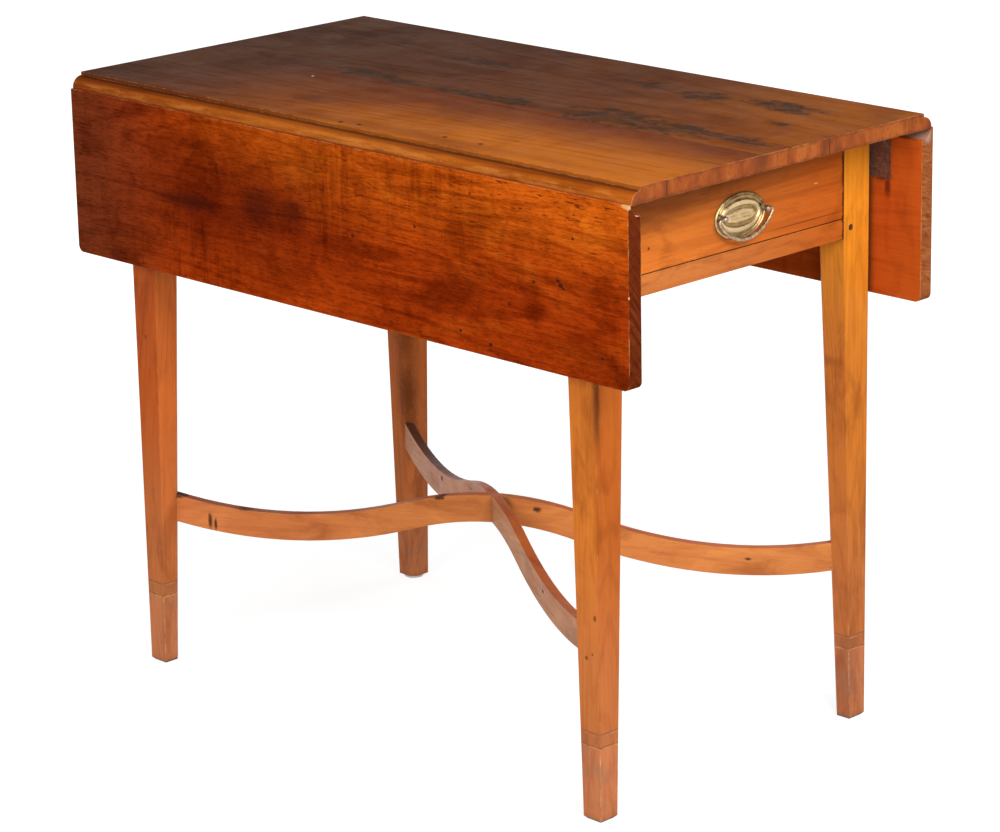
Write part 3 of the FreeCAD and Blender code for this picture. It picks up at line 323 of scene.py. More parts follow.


# Top

# The near board's lighter tone and the far board's front tone carry painted light; the tone laid over the
# back is painted shade
TOP_NEAR_LIT = (0.455, 0.122, 0.011)
TOP_RED = (0.178, 0.042, 0.011)
TOP_FAR = (0.140, 0.045, 0.017)
TOP_FRONT_LIT = (0.282, 0.075, 0.010)
TOP_BACK_SHADE = (0.090, 0.036, 0.019)
INK_STAIN = (0.026, 0.016, 0.010)
STAIN_HALO = (0.070, 0.030, 0.014)
WHITE_SPECK = (0.85, 0.80, 0.68)

# A span is the two places between which one tone gives way to the next
NEAR_LIT_Y = (-0.045, -0.18)
NEAR_LIT_X = (-0.42, 0.20)
FAR_LIT_X = (0.05, 0.46)
BACK_SHADE_SPAN = (0.04, -0.40)
BOARD_JOINT = (-0.034, -0.029)
TOP_STAINS = [    # middle x, y and half sizes
    (-0.180, -0.016, 0.036, 0.016),
    (-0.122, -0.025, 0.024, 0.012),
    (0.000, -0.021, 0.045, 0.012),
    (0.052, -0.016, 0.030, 0.014),
    (0.205, -0.008, 0.060, 0.028),
    (0.285, -0.006, 0.055, 0.024),
    (0.362, 0.000, 0.050, 0.014),
    (0.200, 0.138, 0.026, 0.020),
    (0.126, 0.144, 0.024, 0.012),
    (0.312, 0.152, 0.042, 0.018),
    (-0.120, 0.113, 0.040, 0.012),
    (0.358, 0.083, 0.012, 0.008),
]
TOP_HOLES = [(-0.009, -0.214), (0.016, -0.210), (0.132, -0.193), (0.185, -0.192)]
HOLE_HALF = (0.0032, 0.0026)
TOP_SPECK = (-0.217, -0.067, 0.0018, 0.0014)


def on_top(rows):
    """Marks that run right through the top's thickness: rows of middle x, y and half sizes."""
    return [((x, y, 0.0), (half_x, half_y, 0.0)) for x, y, half_x, half_y in rows]


def top_boards(finish, pattern):
    """Near board warm and painted lighter towards the drawer, far board browner and painted lighter towards
    the drawer end, both with painted shade at the back.
    """
    # Painted light: the near board lighter towards the drawer end and the near side, the far board lighter
    # towards the drawer end
    lit = finish.times(finish.ease(finish.y, *NEAR_LIT_Y), finish.ease(finish.x, *NEAR_LIT_X))
    near = finish.mix(lit, TOP_RED, TOP_NEAR_LIT)
    far = finish.mix(finish.ease(finish.x, *FAR_LIT_X), TOP_FAR, TOP_FRONT_LIT)
    joint = finish.plus(finish.y, finish.times(finish.x, 0.02), finish.waver(5.0, 0.02))
    tone = finish.mix(finish.ease(joint, *BOARD_JOINT), near, far)
    # Painted shade over the back of the top
    back_shade = finish.ease(finish.plus(finish.x, finish.times(finish.y, -0.35)), *BACK_SHADE_SPAN)
    tone = figured(finish, finish.lay(tone, TOP_BACK_SHADE, back_shade, 0.95), pattern, 0.75)
    streaks = finish.drawn("x", 0.05, 17.0, 4.0, 0.6)
    tone = finish.tint(tone, DEEPER, finish.ease(streaks, 0.52, 0.70, 0.0, 0.55))
    clouds = finish.noise(7.0, 4.0, 0.6, 0.6)
    return finish.tint(tone, DEEPER, finish.ease(clouds, 0.44, 0.66, 0.0, 0.6))


def top_marks(finish, tone):
    """Black water stains, holes and one white speck; also gives the holes for the relief."""
    torn = finish.drawn("x", 0.6, 62.0, 5.0, 0.74, 0.4)
    stains = on_top(TOP_STAINS)
    inked = finish.times(finish.spots(stains, 3.4, 0.45, torn), finish.ease(torn, 0.60, 0.40))
    tone = finish.lay(tone, INK_STAIN, inked, 0.90)
    tone = finish.lay(tone, STAIN_HALO, finish.spots(stains, 2.6, 0.9, torn), 0.45)
    holes = finish.spots(on_top([(x, y, *HOLE_HALF) for x, y in TOP_HOLES]), 0.4)
    holes = finish.most(holes, finish.times(dents(finish, 34.0, 0.16, 0.05), 0.7))
    tone = finish.lay(tone, DIRT_AND_SHADE, holes)
    return finish.lay(tone, WHITE_SPECK, finish.spots(on_top([TOP_SPECK]))), holes


ROUND_BACK = (0.215, 0.043, 0.006)
ROUND_FRONT = (0.350, 0.082, 0.008)
STEP_TONE = (0.300, 0.060, 0.010)
PATCH_TONE = (0.46, 0.140, 0.022)
RUBBED_AND_HIGHLIT_ROUND = (0.56, 0.190, 0.036)
PALE_FLECK = (0.92, 0.58, 0.27)
FLANK_SPAN = (ARRIS_Y - 0.0006, ARRIS_Y + 0.0006)
WARM_SPAN = (-0.46, -0.02)
STEP_SPAN = (STEP_Z - 0.0002, STEP_Z + 0.0006)
PATCH_STARTS, PATCH_FADES = (-0.1425, -0.1415), (0.30, 0.10)
RUBBED_AND_HIGHLIT_SPAN = (STEP_Z - 0.0035, STEP_Z - 0.007)
FLECKS_SPAN = (-0.35, 0.0)
SHADE_UNDER_STEP_SPAN = (STEP_Z - 0.0042, STEP_Z - 0.0022)
STEP_CORNER_Z = STEP_Z - 0.0004
STEP_CORNER_SHADE_SPAN = (0.0009, 0.0003)


def top_moulding(finish, tone):
    """Quarter rounds: warmer than the top, painted shade under the step and in its corner, a patched length,
    rubbed pale low down where a painted highlight lies too.
    """
    flank = finish.ease(finish.maths("ABSOLUTE", finish.y), *FLANK_SPAN)
    moulded = finish.mix(finish.ease(finish.x, *WARM_SPAN), ROUND_BACK, ROUND_FRONT)
    moulded = figured(finish, moulded, figure(finish, "x", 8.0, 0.8), 0.8)
    moulded = finish.lay(moulded, STEP_TONE, finish.ease(finish.z, *STEP_SPAN), 0.8)
    patched = finish.times(finish.ease(finish.x, *PATCH_STARTS), finish.ease(finish.x, *PATCH_FADES))
    moulded = finish.lay(moulded, PATCH_TONE, patched, 0.22)
    uneven = finish.waver(38.0, 0.006)
    # Pale band low down: rubbed wear and a painted highlight along the round
    low_down = finish.ease(finish.plus(finish.z, uneven), *RUBBED_AND_HIGHLIT_SPAN)
    patchy = finish.ease(finish.drawn("x", 0.15, 150.0, 4.0, 0.7), 0.40, 0.62)
    moulded = finish.lay(moulded, RUBBED_AND_HIGHLIT_ROUND, low_down, patchy, 0.50)
    flecks = finish.times(dents(finish, 260.0, 0.34, 0.15), finish.ease(finish.x, *FLECKS_SPAN), low_down)
    moulded = finish.lay(moulded, PALE_FLECK, flecks, 0.8)
    # Painted shade on the round just under the step
    under_step = finish.plus(finish.z, finish.times(uneven, 0.3))
    moulded = finish.tint(moulded, DEEPER, finish.ease(under_step, *SHADE_UNDER_STEP_SPAN), 0.75)
    tone = finish.mix(flank, tone, moulded)
    # Painted shade as a dark line in the corner at the foot of the step
    corner = finish.maths("ABSOLUTE", finish.plus(finish.z, -STEP_CORNER_Z))
    return finish.lay(tone, DIRT_AND_SHADE, flank, finish.ease(corner, *STEP_CORNER_SHADE_SPAN), 0.60)


TOP_ENDS = ((0.170, 0.046, 0.018), (0.290, 0.069, 0.018), (0.400, 0.108, 0.026))
SAW_MARK = (0.140, 0.036, 0.014)
UPRIGHT_CHECK = (0.060, 0.020, 0.010)
DARK_BORDER = (0.135, 0.036, 0.016)
BORDER_SPAN = (0.0050, 0.0090)    # from the middle of the thickness


def top_ends(finish, tone):
    """Sawn ends: orange and brown patches, dark borders, a few upright checks."""
    ends = finish.three_tones(finish.drawn("z", 0.35, 30.0, 3.0, 0.6, 0.4), TOP_ENDS, 0.36)
    saw = finish.drawn("z", 0.55, 260.0, 3.0, 0.6, 0.6)
    ends = finish.lay(ends, SAW_MARK, finish.ease(saw, 0.52, 0.66, 0.0, 0.4))
    checks = finish.ease(finish.drawn("z", 0.05, 85.0, 2.0, 0.5), 0.645, 0.675)
    ends = finish.lay(ends, UPRIGHT_CHECK, checks, 0.75)
    middle = (TOP_LOW.z + TOP_HIGH.z) / 2
    from_middle = finish.maths("ABSOLUTE", finish.plus(finish.z, -middle))
    border = finish.plus(from_middle, finish.waver(70.0, 0.008))
    ends = finish.lay(ends, DARK_BORDER, finish.ease(border, *BORDER_SPAN, 0.0, 0.55))
    return finish.mix(end_grain(finish), tone, ends)


def paint_top():
    finish = Finish("old_cherry_top")
    pattern = figure(finish, "x", 7.0)
    tone, holes = top_marks(finish, top_boards(finish, pattern))
    tone = top_ends(finish, top_moulding(finish, tone))
    tone = finish.lay(tone, PALE_WEAR, finish.worn_edge(0.0015, 75.0, 0.50), 0.75)
    # Painted shade in the corners and gaps of the top
    tone = finish.lay(tone, DIRT_AND_SHADE, finish.occluded_hollows(0.0030), 0.7)
    return varnish(finish, tone, pattern, holes, TOP_SHEEN)


# Leaves

LEAF_DEEP = (0.385, 0.043, 0.0030)
LEAF_LIT_TONE = (0.550, 0.094, 0.0050)
LEAF_DARK = (0.120, 0.009, 0.0018)
LEAF_BACK_SHADE = (0.160, 0.031, 0.010)
LEAF_INSIDE = (0.500, 0.083, 0.0100)
LEAF_DASH = (0.060, 0.009, 0.003)
LEAF_LIT_Z = (LEAF_HIGH.z - 0.12, LEAF_HIGH.z - 0.01)
LEAF_LIT_X = (-0.36, -0.02)
LEAF_BACK_SHADE_X = (-0.22, -0.44)
LEAF_CLOUDED = ((-0.165, 0.0, 0.605), (0.17, 0.0, 0.070))
INSIDE_SHADE_X = (0.37, 0.22)


def leaf_outside(finish):
    """Deep red brown with painted light along the upper edge, clouded in the middle, dulled by painted shade
    at the back.
    """
    # Painted light along the upper edge, stronger towards the front end
    light = finish.times(finish.ease(finish.z, *LEAF_LIT_Z), finish.ease(finish.x, *LEAF_LIT_X))
    tone = finish.mix(light, LEAF_DEEP, LEAF_LIT_TONE)
    tone = finish.lay(tone, LEAF_DARK, finish.spot(*LEAF_CLOUDED, 1.0, 0.8), 0.72)
    # Painted shade towards the back end
    return finish.lay(tone, LEAF_BACK_SHADE, finish.ease(finish.x, *LEAF_BACK_SHADE_X), 0.9)


def leaf_inside(finish, pattern):
    """Plain orange red with a faint curl, darker by painted shade away from the front end."""
    tone = figured(finish, LEAF_INSIDE, pattern, 0.5)
    curl = finish.noise(46.0, 4.0, 0.6, 0.5, finish.stretch((1.0, 0.3, 0.3)))
    tone = finish.tint(tone, DEEPER, finish.ease(curl, 0.46, 0.68, 0.0, 0.4))
    # Painted shade away from the light at the front end
    return finish.tint(tone, DEEPER, finish.ease(finish.x, *INSIDE_SHADE_X, 0.0, 0.6))


def leaf_weathering(finish, tone):
    """Ripples, clouds and short dark dashes along the grain; also gives the dashes for the relief."""
    where = finish.times(finish.ease(finish.noise(7.0, 2.0), 0.40, 0.62),
                         finish.ease(finish.x, 0.32, 0.10, 0.35, 1.0),
                         finish.ease(finish.x, -0.40, -0.26))
    ripple = finish.noise(88.0, 3.0, 0.55, 0.4, finish.stretch((1.0, 0.3, 0.10)))
    tone = finish.tint(tone, DEEPER, finish.ease(ripple, 0.46, 0.66), where, 0.75)
    tone = finish.tint(tone, DEEPER, blotches(finish, 12.0, 0.46, 0.70), 0.85)
    tone = finish.tint(tone, DEEPER, blotches(finish, 42.0, 0.48, 0.70), 0.55)
    golden = finish.ease(finish.drawn("x", 0.4, 26.0, 4.0, 0.62, 0.5), 0.50, 0.70)
    tone = finish.tint(tone, GOLDEN, golden, finish.ease(finish.x, -0.25, 0.10), 0.85)
    hairs = finish.ease(finish.drawn("x", 0.16, 620.0, 4.0, 0.7), 0.48, 0.62)
    tone = finish.tint(tone, DEEPER, hairs, 0.80)
    scores = finish.ease(finish.drawn("z", 0.10, 330.0, 3.0, 0.65), 0.56, 0.68)
    tone = finish.tint(tone, DEEPER, scores, where, 0.6)
    dashes = finish.ease(finish.drawn("x", 0.17, 400.0, 3.0, 0.62, 0.3), 0.60, 0.67)
    thick = finish.ease(finish.drawn("x", 0.5, 14.0, 3.0), 0.42, 0.60)
    upper = finish.ease(finish.z, 0.56, 0.66, 0.45, 1.0)
    dashes = finish.times(dashes, thick, upper, finish.ease(finish.x, -0.30, 0.15, 0.25, 1.0))
    return finish.lay(tone, LEAF_DASH, dashes, 0.85), dashes


LEAF_CLOUDS = [    # middle x, z and half sizes
    (-0.062, 0.606, 0.018, 0.013),
    (-0.118, 0.603, 0.026, 0.020),
    (-0.240, 0.592, 0.045, 0.010),
]
LEAF_KNOCKS = [    # middle x, z and size
    (0.348, 0.595, 0.0034),
    (0.344, 0.599, 0.0024),
    (0.352, 0.592, 0.0020),
    (0.309, 0.592, 0.0018),
    (0.273, 0.562, 0.0020),
    (0.244, 0.513, 0.0026),
    (0.199, 0.520, 0.0020),
    (0.406, 0.528, 0.0022),
    (0.132, 0.622, 0.0018),
    (0.366, 0.647, 0.0018),
    (0.034, 0.596, 0.0024),
]
LEAF_CHIPS = [
    ((LEAF_HIGH.x - 0.001, -LEAF_HIGH.y, LEAF_HIGH.z), (0.0085, 0.010, 0.0042)),
    ((LEAF_HIGH.x, -LEAF_HIGH.y, 0.598), (0.0013, 0.0013, 0.0016)),
]
LEAF_SPECK = ((LEAF_HIGH.x, -0.2276, 0.6822), (0.004, 0.0026, 0.0016))
CLOUD_TONE = (0.050, 0.007, 0.003)
CHIP_TONE = (0.68, 0.34, 0.13)
BARE_SPECK = (0.92, 0.84, 0.72)


def on_leaf(rows):
    """Marks that run right through a leaf's thickness: rows of middle x, z and half sizes."""
    return [((x, 0.0, z), (half_x, 0.0, half_z)) for x, z, half_x, half_z in rows]


def left_leaf_marks(finish, tone):
    """Dark clouds, knocks and chips of the left leaf; also gives the knocks for the relief."""
    tone = finish.lay(tone, CLOUD_TONE, finish.spots(on_leaf(LEAF_CLOUDS), 1.4, 0.7), 0.62)
    knocks = finish.spots(on_leaf([(x, z, size, size * 0.8) for x, z, size in LEAF_KNOCKS]), 2.0, 0.4)
    tone = finish.lay(tone, DIRT_AND_SHADE, knocks, 0.9)
    tone = finish.lay(tone, CHIP_TONE, finish.spots(LEAF_CHIPS, 1.0, 0.3))
    return finish.lay(tone, BARE_SPECK, finish.spot(*LEAF_SPECK, 0.6, 0.3)), knocks


DRIP_X = STRAP_HIGH.x - 0.012
HINGE_DRIPS = [
    ((DRIP_X, LEAF_LOW.y, STRAP_LOW.z + 0.002), (0.012, 0.006, 0.006)),
    ((DRIP_X + 0.008, LEAF_LOW.y, STRAP_LOW.z - 0.008), (0.004, 0.006, 0.012)),
]
HOLLOW_GREY_PATCH = ((LEAF_HIGH.x - 0.012, LEAF_LOW.y + 0.009, LEAF_HIGH.z - 0.008), (0.026, 0.0065, 0.009))
DRIP_TONE = (0.070, 0.016, 0.008)
HOLLOW_GREY = (0.420, 0.300, 0.230)


def right_leaf_marks(finish, tone):
    """Dark drip under the front hinge and a pale grey patch in the hollow at the front end of the right leaf.
    """
    tone = finish.lay(tone, DRIP_TONE, finish.spots(HINGE_DRIPS, 1.2, 0.6), 0.8)
    return finish.lay(tone, HOLLOW_GREY, finish.spot(*HOLLOW_GREY_PATCH, 0.5, 0.4), 0.7)


def leaf_end(finish, tone, tones, slant, scale):
    """Sawn ends: slanting or curly streaks across the thickness."""
    leaned = finish.plus(finish.z, finish.times(finish.y, slant))
    place = finish.add("ShaderNodeCombineXYZ", {0: finish.times(finish.y, 0.18), 2: leaned}).outputs[0]
    ends = finish.three_tones(finish.noise(scale, 3.0, 0.6, 0.35, place), tones, 0.36, 0.64)
    filled = finish.noise(52.0, 4.0, 0.65, 0.5)
    ends = finish.lay(ends, tones[1], finish.ease(filled, 0.40, 0.62, 0.0, 0.8))
    grubby = finish.noise(160.0, 4.0, 0.7)
    ends = finish.tint(ends, DEEPER, finish.ease(grubby, 0.50, 0.66, 0.0, 0.6))
    return finish.mix(end_grain(finish), tone, ends)


DARK_ENDS = ((0.062, 0.010, 0.004), (0.112, 0.018, 0.004), (0.165, 0.033, 0.009))
CURLY_ENDS = ((0.150, 0.040, 0.013), (0.300, 0.088, 0.026), (0.430, 0.142, 0.044))


def paint_leaf(name, side, seed):
    """Drop leaf: side is -1 for the left one, whose outside the photograph shows, and 1 for the right one."""
    finish = Finish(name)
    pattern = figure(finish, "x", 9.0, seed)
    outside = finish.ease(finish.times(finish.facing[1], float(side)), 0.2, 0.6)
    tone, dashes = leaf_weathering(finish, figured(finish, leaf_outside(finish), pattern))
    tone = finish.mix(outside, leaf_inside(finish, pattern), tone)
    scattered = dents(finish, 27.0, 0.22, 0.05)
    tone = finish.lay(tone, DIRT_AND_SHADE, scattered, 0.7)
    knocks = finish.most(finish.times(dashes, outside, 0.3), scattered)
    if side < 0:
        tone = leaf_end(finish, tone, DARK_ENDS, 1.4, 120.0)
        tone, marks = left_leaf_marks(finish, tone)
        knocks = finish.most(knocks, marks)
    else:
        tone = right_leaf_marks(finish, leaf_end(finish, tone, CURLY_ENDS, 0.3, 250.0))
    tone = finish.lay(tone, PALE_WEAR, finish.worn_edge(0.0018, 60.0, 0.52), 0.75)
    # Painted shade in the corners and gaps of the leaf
    tone = finish.lay(tone, DIRT_AND_SHADE, finish.occluded_hollows(0.010), 0.75)
    return varnish(finish, tone, pattern, knocks, LEAF_SHEEN)


# Legs

LEG_LIT_TONE = (0.830, 0.285, 0.021)
LEG_DULL = (0.530, 0.160, 0.048)
FOOT_TONE = (0.560, 0.185, 0.074)
BAND_TONE = (0.440, 0.132, 0.040)
FOOT_GREY = (0.300, 0.150, 0.090)
LEG_KNOCK = (0.095, 0.030, 0.012)
LEG_STAIN_AND_SHADOW = (0.110, 0.028, 0.007)
DARK_ARRIS = (0.180, 0.046, 0.010)
BARE_ARRIS = (0.82, 0.47, 0.22)
LEG_CREVICE_SHADE = (0.060, 0.020, 0.008)
LEG_LIT_Z = (0.40, 0.62)
LEG_DULL_Z = (0.36, 0.12)
FOOT_SPAN = (CUFF_HIGH, CUFF_HIGH - 0.0008)
BAND_SPAN = (CUFF_LOW, CUFF_LOW + 0.0008)

# Each leg: the tones of its left and right faces, painted apart for the light on them, how much painted light
# its upper part gets, its marks and its stains, one of them a painted shadow
LEGS = {
    "leg_front_left": (
        (0.610, 0.170, 0.022), (0.475, 0.112, 0.015), 0.0,
        [((0.3685, -0.218, 0.2317), (0.0020, 0.0040, 0.0032)),
         ((0.3404, -0.218, 0.2208), (0.0026, 0.0040, 0.0022)),
         ((0.3555, -0.218, 0.1847), (0.0022, 0.0040, 0.0022)),
         ((0.3644, -0.218, 0.1905), (0.0014, 0.0040, 0.0014))],
        # The long dark mark down the outer arris just under the hanging leaf is a painted shadow of the leaf
        [((0.3745, -0.2185, 0.470), (0.0050, 0.0050, 0.045))],
    ),
    "leg_front_right": (
        (0.640, 0.185, 0.034), (0.600, 0.176, 0.020), 1.0, [],
        [((0.340, 0.176, 0.425), (0.030, 0.004, 0.007)),
         ((0.345, 0.176, 0.380), (0.022, 0.004, 0.012))],
    ),
    "leg_back_left": (
        (0.490, 0.092, 0.014), (0.660, 0.154, 0.030), 0.0,
        [((-0.3568, -0.218, 0.4058), (0.0016, 0.0040, 0.0026))], [],
    ),
    "leg_back_right": (
        (0.560, 0.142, 0.037), (0.660, 0.166, 0.033), 0.0, [],
        [((-0.345, 0.186, 0.245), (0.014, 0.014, 0.045)),
         ((-0.345, 0.186, 0.400), (0.016, 0.016, 0.120))],
    ),
}


def paint_leg(name, left, right, light, marks, stains):
    """Leg: honey orange, its left and right faces painted apart in tone for the light on them, painted light
    on the upper part, dull below, cuff and foot browner.
    """
    finish = Finish("old_cherry_" + name)
    pattern = figure(finish, "z", 15.0, 0.3)
    # Left and right faces in different tones, painted for the light that falls on them
    tone = finish.mix(finish.ease(finish.facing[0], 0.3, 0.7), left, right)
    # Painted light over the upper part
    tone = finish.lay(tone, LEG_LIT_TONE, finish.ease(finish.z, *LEG_LIT_Z), light)
    tone = finish.lay(tone, LEG_DULL, finish.ease(finish.z, *LEG_DULL_Z, 0.0, 0.8))
    foot = finish.ease(finish.z, *FOOT_SPAN)
    band = finish.times(foot, finish.ease(finish.z, *BAND_SPAN))
    tone = finish.lay(tone, FOOT_TONE, foot, 0.9)
    tone = finish.lay(tone, BAND_TONE, band, 0.75)
    tone = figured(finish, tone, pattern, 0.42)
    clouds = finish.drawn("z", 0.35, 26.0, 4.0, 0.6, 0.5)
    tone = finish.tint(tone, DEEPER, finish.ease(clouds, 0.50, 0.70, 0.0, 0.65))
    dusty = finish.ease(finish.noise(34.0, 5.0, 0.65), 0.48, 0.66)
    tone = finish.lay(tone, FOOT_GREY, dusty, foot, 0.45)
    knocks = finish.most(dents(finish, 30.0, 0.10, 0.04), finish.spots(marks, 1.2, 0.4))
    tone = finish.lay(tone, LEG_KNOCK, knocks, 0.75)
    # Stains, and on the front left leg a painted shadow of the leaf
    tone = finish.lay(tone, LEG_STAIN_AND_SHADOW, finish.spots(stains, 0.9, 0.8), 0.8)
    tone = finish.lay(tone, DARK_ARRIS, finish.worn_edge(0.0014, 22.0, 0.50), 0.35)
    bare_foot = finish.times(finish.worn_edge(0.0028, 75.0, 0.54), foot)
    bare = finish.most(finish.worn_edge(0.0011, 45.0, 0.60), bare_foot)
    tone = finish.lay(tone, BARE_ARRIS, bare, 0.85)
    # Painted shade in corners and gaps, such as high on the legs under the top and the leaves
    tone = finish.lay(tone, LEG_CREVICE_SHADE, finish.occluded_hollows(0.012), 0.8)
    return varnish(finish, tone, pattern, knocks, FRAME_SHEEN)


# Drawer front and end rails

DRAWER_LEFT = (0.640, 0.167, 0.024)
DRAWER_RIGHT = (0.560, 0.118, 0.014)
RAIL_LEFT = (0.540, 0.164, 0.038)
RAIL_RIGHT = (0.450, 0.098, 0.013)
OVERHANG_SHADOW = (0.42, 0.40, 0.48)
CRACK_TONE = (0.10, 0.022, 0.008)
SCRATCH_TONE = (0.80, 0.40, 0.16)
BRUISE_TONE = (0.12, 0.030, 0.010)
GAP_SHADE = (0.040, 0.012, 0.006)
RAIL_WEAR = (0.72, 0.32, 0.10)
RAIL_CREVICE_SHADE = (0.040, 0.014, 0.008)
REDDER_Y = (-0.06, 0.17)
GAP_SHADE_Y = (DRAWER_HIGH.y - 0.0030, DRAWER_HIGH.y - 0.0010)
SHADE_Z = (DRAWER_HIGH.z - 0.056, DRAWER_HIGH.z - 0.020)
SHADE_SLOPE = -0.10
DRAWER_CRACK = ((0.0, 0.113, DRAWER_LOW.z + 0.0085), (0.0, 0.060, 0.0006))
DRAWER_SCRATCH = ((0.0, 0.129, 0.640), (0.0, 0.0030, 0.0007))
DRAWER_BRUISE = ((0.0, -0.136, 0.618), (0.0, 0.0016, 0.0016))


def drawer_marks(finish, tone):
    """Sloping painted shadow under the top, a crack, a scratch and a bruise."""
    sloping = finish.plus(finish.z, finish.times(finish.y, SHADE_SLOPE))
    # Painted shadow of the top's overhang, sloping across the front
    tone = finish.tint(tone, OVERHANG_SHADOW, finish.ease(sloping, *SHADE_Z), 0.9)
    tone = finish.lay(tone, CRACK_TONE, finish.spot(*DRAWER_CRACK, 0.5, 0.45), 0.75)
    tone = finish.lay(tone, SCRATCH_TONE, finish.spot(*DRAWER_SCRATCH, 0.0, 0.4))
    return finish.lay(tone, BRUISE_TONE, finish.spot(*DRAWER_BRUISE, 0.6, 0.4))


def paint_drawer_end(name, seed, left, right, drawer=False):
    """Orange brown, grain from side to side, redder to the right, with ragged painted shade of the gap beside
    the right leg.
    """
    finish = Finish(name)
    pattern = figure(finish, "y", 9.0, seed)
    tone = finish.mix(finish.ease(finish.y, *REDDER_Y), left, right)
    tone = figured(finish, tone, pattern, 0.5)
    clouds = finish.drawn("y", 0.45, 30.0, 5.0, 0.62, 0.5)
    tone = finish.tint(tone, DEEPER, finish.ease(clouds, 0.50, 0.70, 0.0, 0.6))
    knocks = dents(finish, 28.0, 0.10, 0.04)
    tone = finish.lay(tone, BRUISE_TONE, knocks, 0.7)
    if drawer:
        tone = drawer_marks(finish, tone)
    # Painted shade of the gap beside the right leg, with a ragged border
    gap_border = finish.plus(finish.y, finish.waver(130.0, 0.008, 4.0, 0.7))
    tone = finish.lay(tone, GAP_SHADE, finish.ease(gap_border, *GAP_SHADE_Y), 0.85)
    tone = finish.lay(tone, RAIL_WEAR, finish.worn_edge(0.0010, 50.0, 0.58), 0.6)
    # Painted shade in corners and gaps
    tone = finish.lay(tone, RAIL_CREVICE_SHADE, finish.occluded_hollows(0.008), 0.9)
    return varnish(finish, tone, pattern, knocks, FRAME_SHEEN)


# Stretcher: tones of the sides and upper faces, each at the back and at the front, holding painted light and
# shade, the under bar's sides greyed by a painted reflection, then the chips

OVER_LIGHT_AND_SHADE = ((0.560, 0.166, 0.050), (0.560, 0.180, 0.050), (0.250, 0.060, 0.022), (0.420, 0.098, 0.022))
UNDER_LIGHT_AND_SHADE = ((0.460, 0.188, 0.097), (0.505, 0.208, 0.096), (0.110, 0.040, 0.025), (0.400, 0.092, 0.024))
OVER_CHIPS = [
    ((-0.306, -0.168, 0.180), (0.0022, 0.02, 0.009)),
    ((-0.300, -0.165, 0.176), (0.0016, 0.02, 0.007)),
    ((-0.340, -0.186, 0.2085), (0.007, 0.02, 0.0030)),
    ((-0.268, -0.149, 0.1985), (0.010, 0.02, 0.0028)),
    ((-0.056, -0.036, 0.230), (0.006, 0.02, 0.0030)),
    ((0.048, 0.019, 0.2235), (0.004, 0.02, 0.0030)),
    ((0.266, 0.135, 0.1830), (0.003, 0.02, 0.0015)),
]
UNDER_CHIPS = [
    ((-0.196, 0.098, 0.190), (0.004, 0.02, 0.0030)),
    ((0.180, -0.101, 0.188), (0.003, 0.02, 0.0020)),
]
BAR_CHIP = (0.045, 0.018, 0.010)
BAR_WEAR = (0.70, 0.33, 0.12)
BAR_CREVICE_SHADE = (0.05, 0.018, 0.010)
SHADE_TO_LIGHT_X = (-0.26, 0.02)


def paint_stretcher(name, turn, tones, chips):
    """Serpentine bar, chipped and bruised; turn is the angle of its grain."""
    finish = Finish(name)
    pattern = figure(finish, "x", 10.0, 0.2, turn)
    side_back, side_front, upper_back, upper_front = tones
    # Painted shade towards the back and painted light towards the front, upper faces painted apart from the
    # sides
    forward = finish.ease(finish.x, *SHADE_TO_LIGHT_X)
    side = finish.mix(forward, side_back, side_front)
    upper = finish.mix(forward, upper_back, upper_front)
    tone = finish.mix(finish.ease(finish.facing[2], 0.4, 0.7), side, upper)
    tone = figured(finish, tone, pattern, 0.5)
    clouds = finish.drawn("x", 0.4, 34.0, 5.0, 0.62, 0.5, turn=turn)
    tone = finish.tint(tone, DEEPER, finish.ease(clouds, 0.50, 0.70, 0.0, 0.65))
    tone = finish.tint(tone, BRIGHTER, finish.ease(clouds, 0.48, 0.34, 0.0, 0.5))
    knocks = finish.most(dents(finish, 46.0, 0.14, 0.05), finish.spots(chips, 2.4, 0.4))
    tone = finish.lay(tone, BAR_CHIP, knocks, 0.9)
    tone = finish.lay(tone, BAR_WEAR, finish.worn_edge(0.0012, 45.0, 0.50), 0.6)
    # Painted shade in corners and gaps, where the bars cross and meet the legs
    tone = finish.lay(tone, BAR_CREVICE_SHADE, finish.occluded_hollows(0.014), 0.8)
    return varnish(finish, tone, pattern, knocks, STRETCHER_SHEEN)


# Hidden wood, stringing and peg

PINE_TONE = (0.470, 0.225, 0.078)
PINE_BROWN = (0.20, 0.088, 0.034)
PINE_CREVICE_SHADE = (0.06, 0.032, 0.018)


def paint_pine(name, axis):
    """Unfinished secondary wood, browned with age."""
    finish = Finish(name)
    pattern = figure(finish, axis, 12.0, 0.5)
    tone = figured(finish, PINE_TONE, pattern, 0.6, 0.12)
    tone = finish.lay(tone, PINE_BROWN, blotches(finish, 9.0), 0.4)
    # Painted shade in corners and gaps
    tone = finish.lay(tone, PINE_CREVICE_SHADE, finish.occluded_hollows(0.02), 0.6)
    saw = finish.ease(finish.drawn(axis, 6.0, 60.0, 2.0), 0.50, 0.66)
    return varnish(finish, tone, pattern, finish.times(saw, 0.15), PINE_SHEEN)


STRING_WIDTH = 0.0020
STRING_BLUR = 0.0006
LOW_LINE_END = (CUFF_LOW + 0.005, CUFF_LOW + 0.004)
STRING_DARK = (0.36, 0.120, 0.040)
STRING_PALE = (0.60, 0.25, 0.090)
STRING_DIRT = (0.210, 0.070, 0.024)
STRING_FADED = (0.330, 0.105, 0.036)


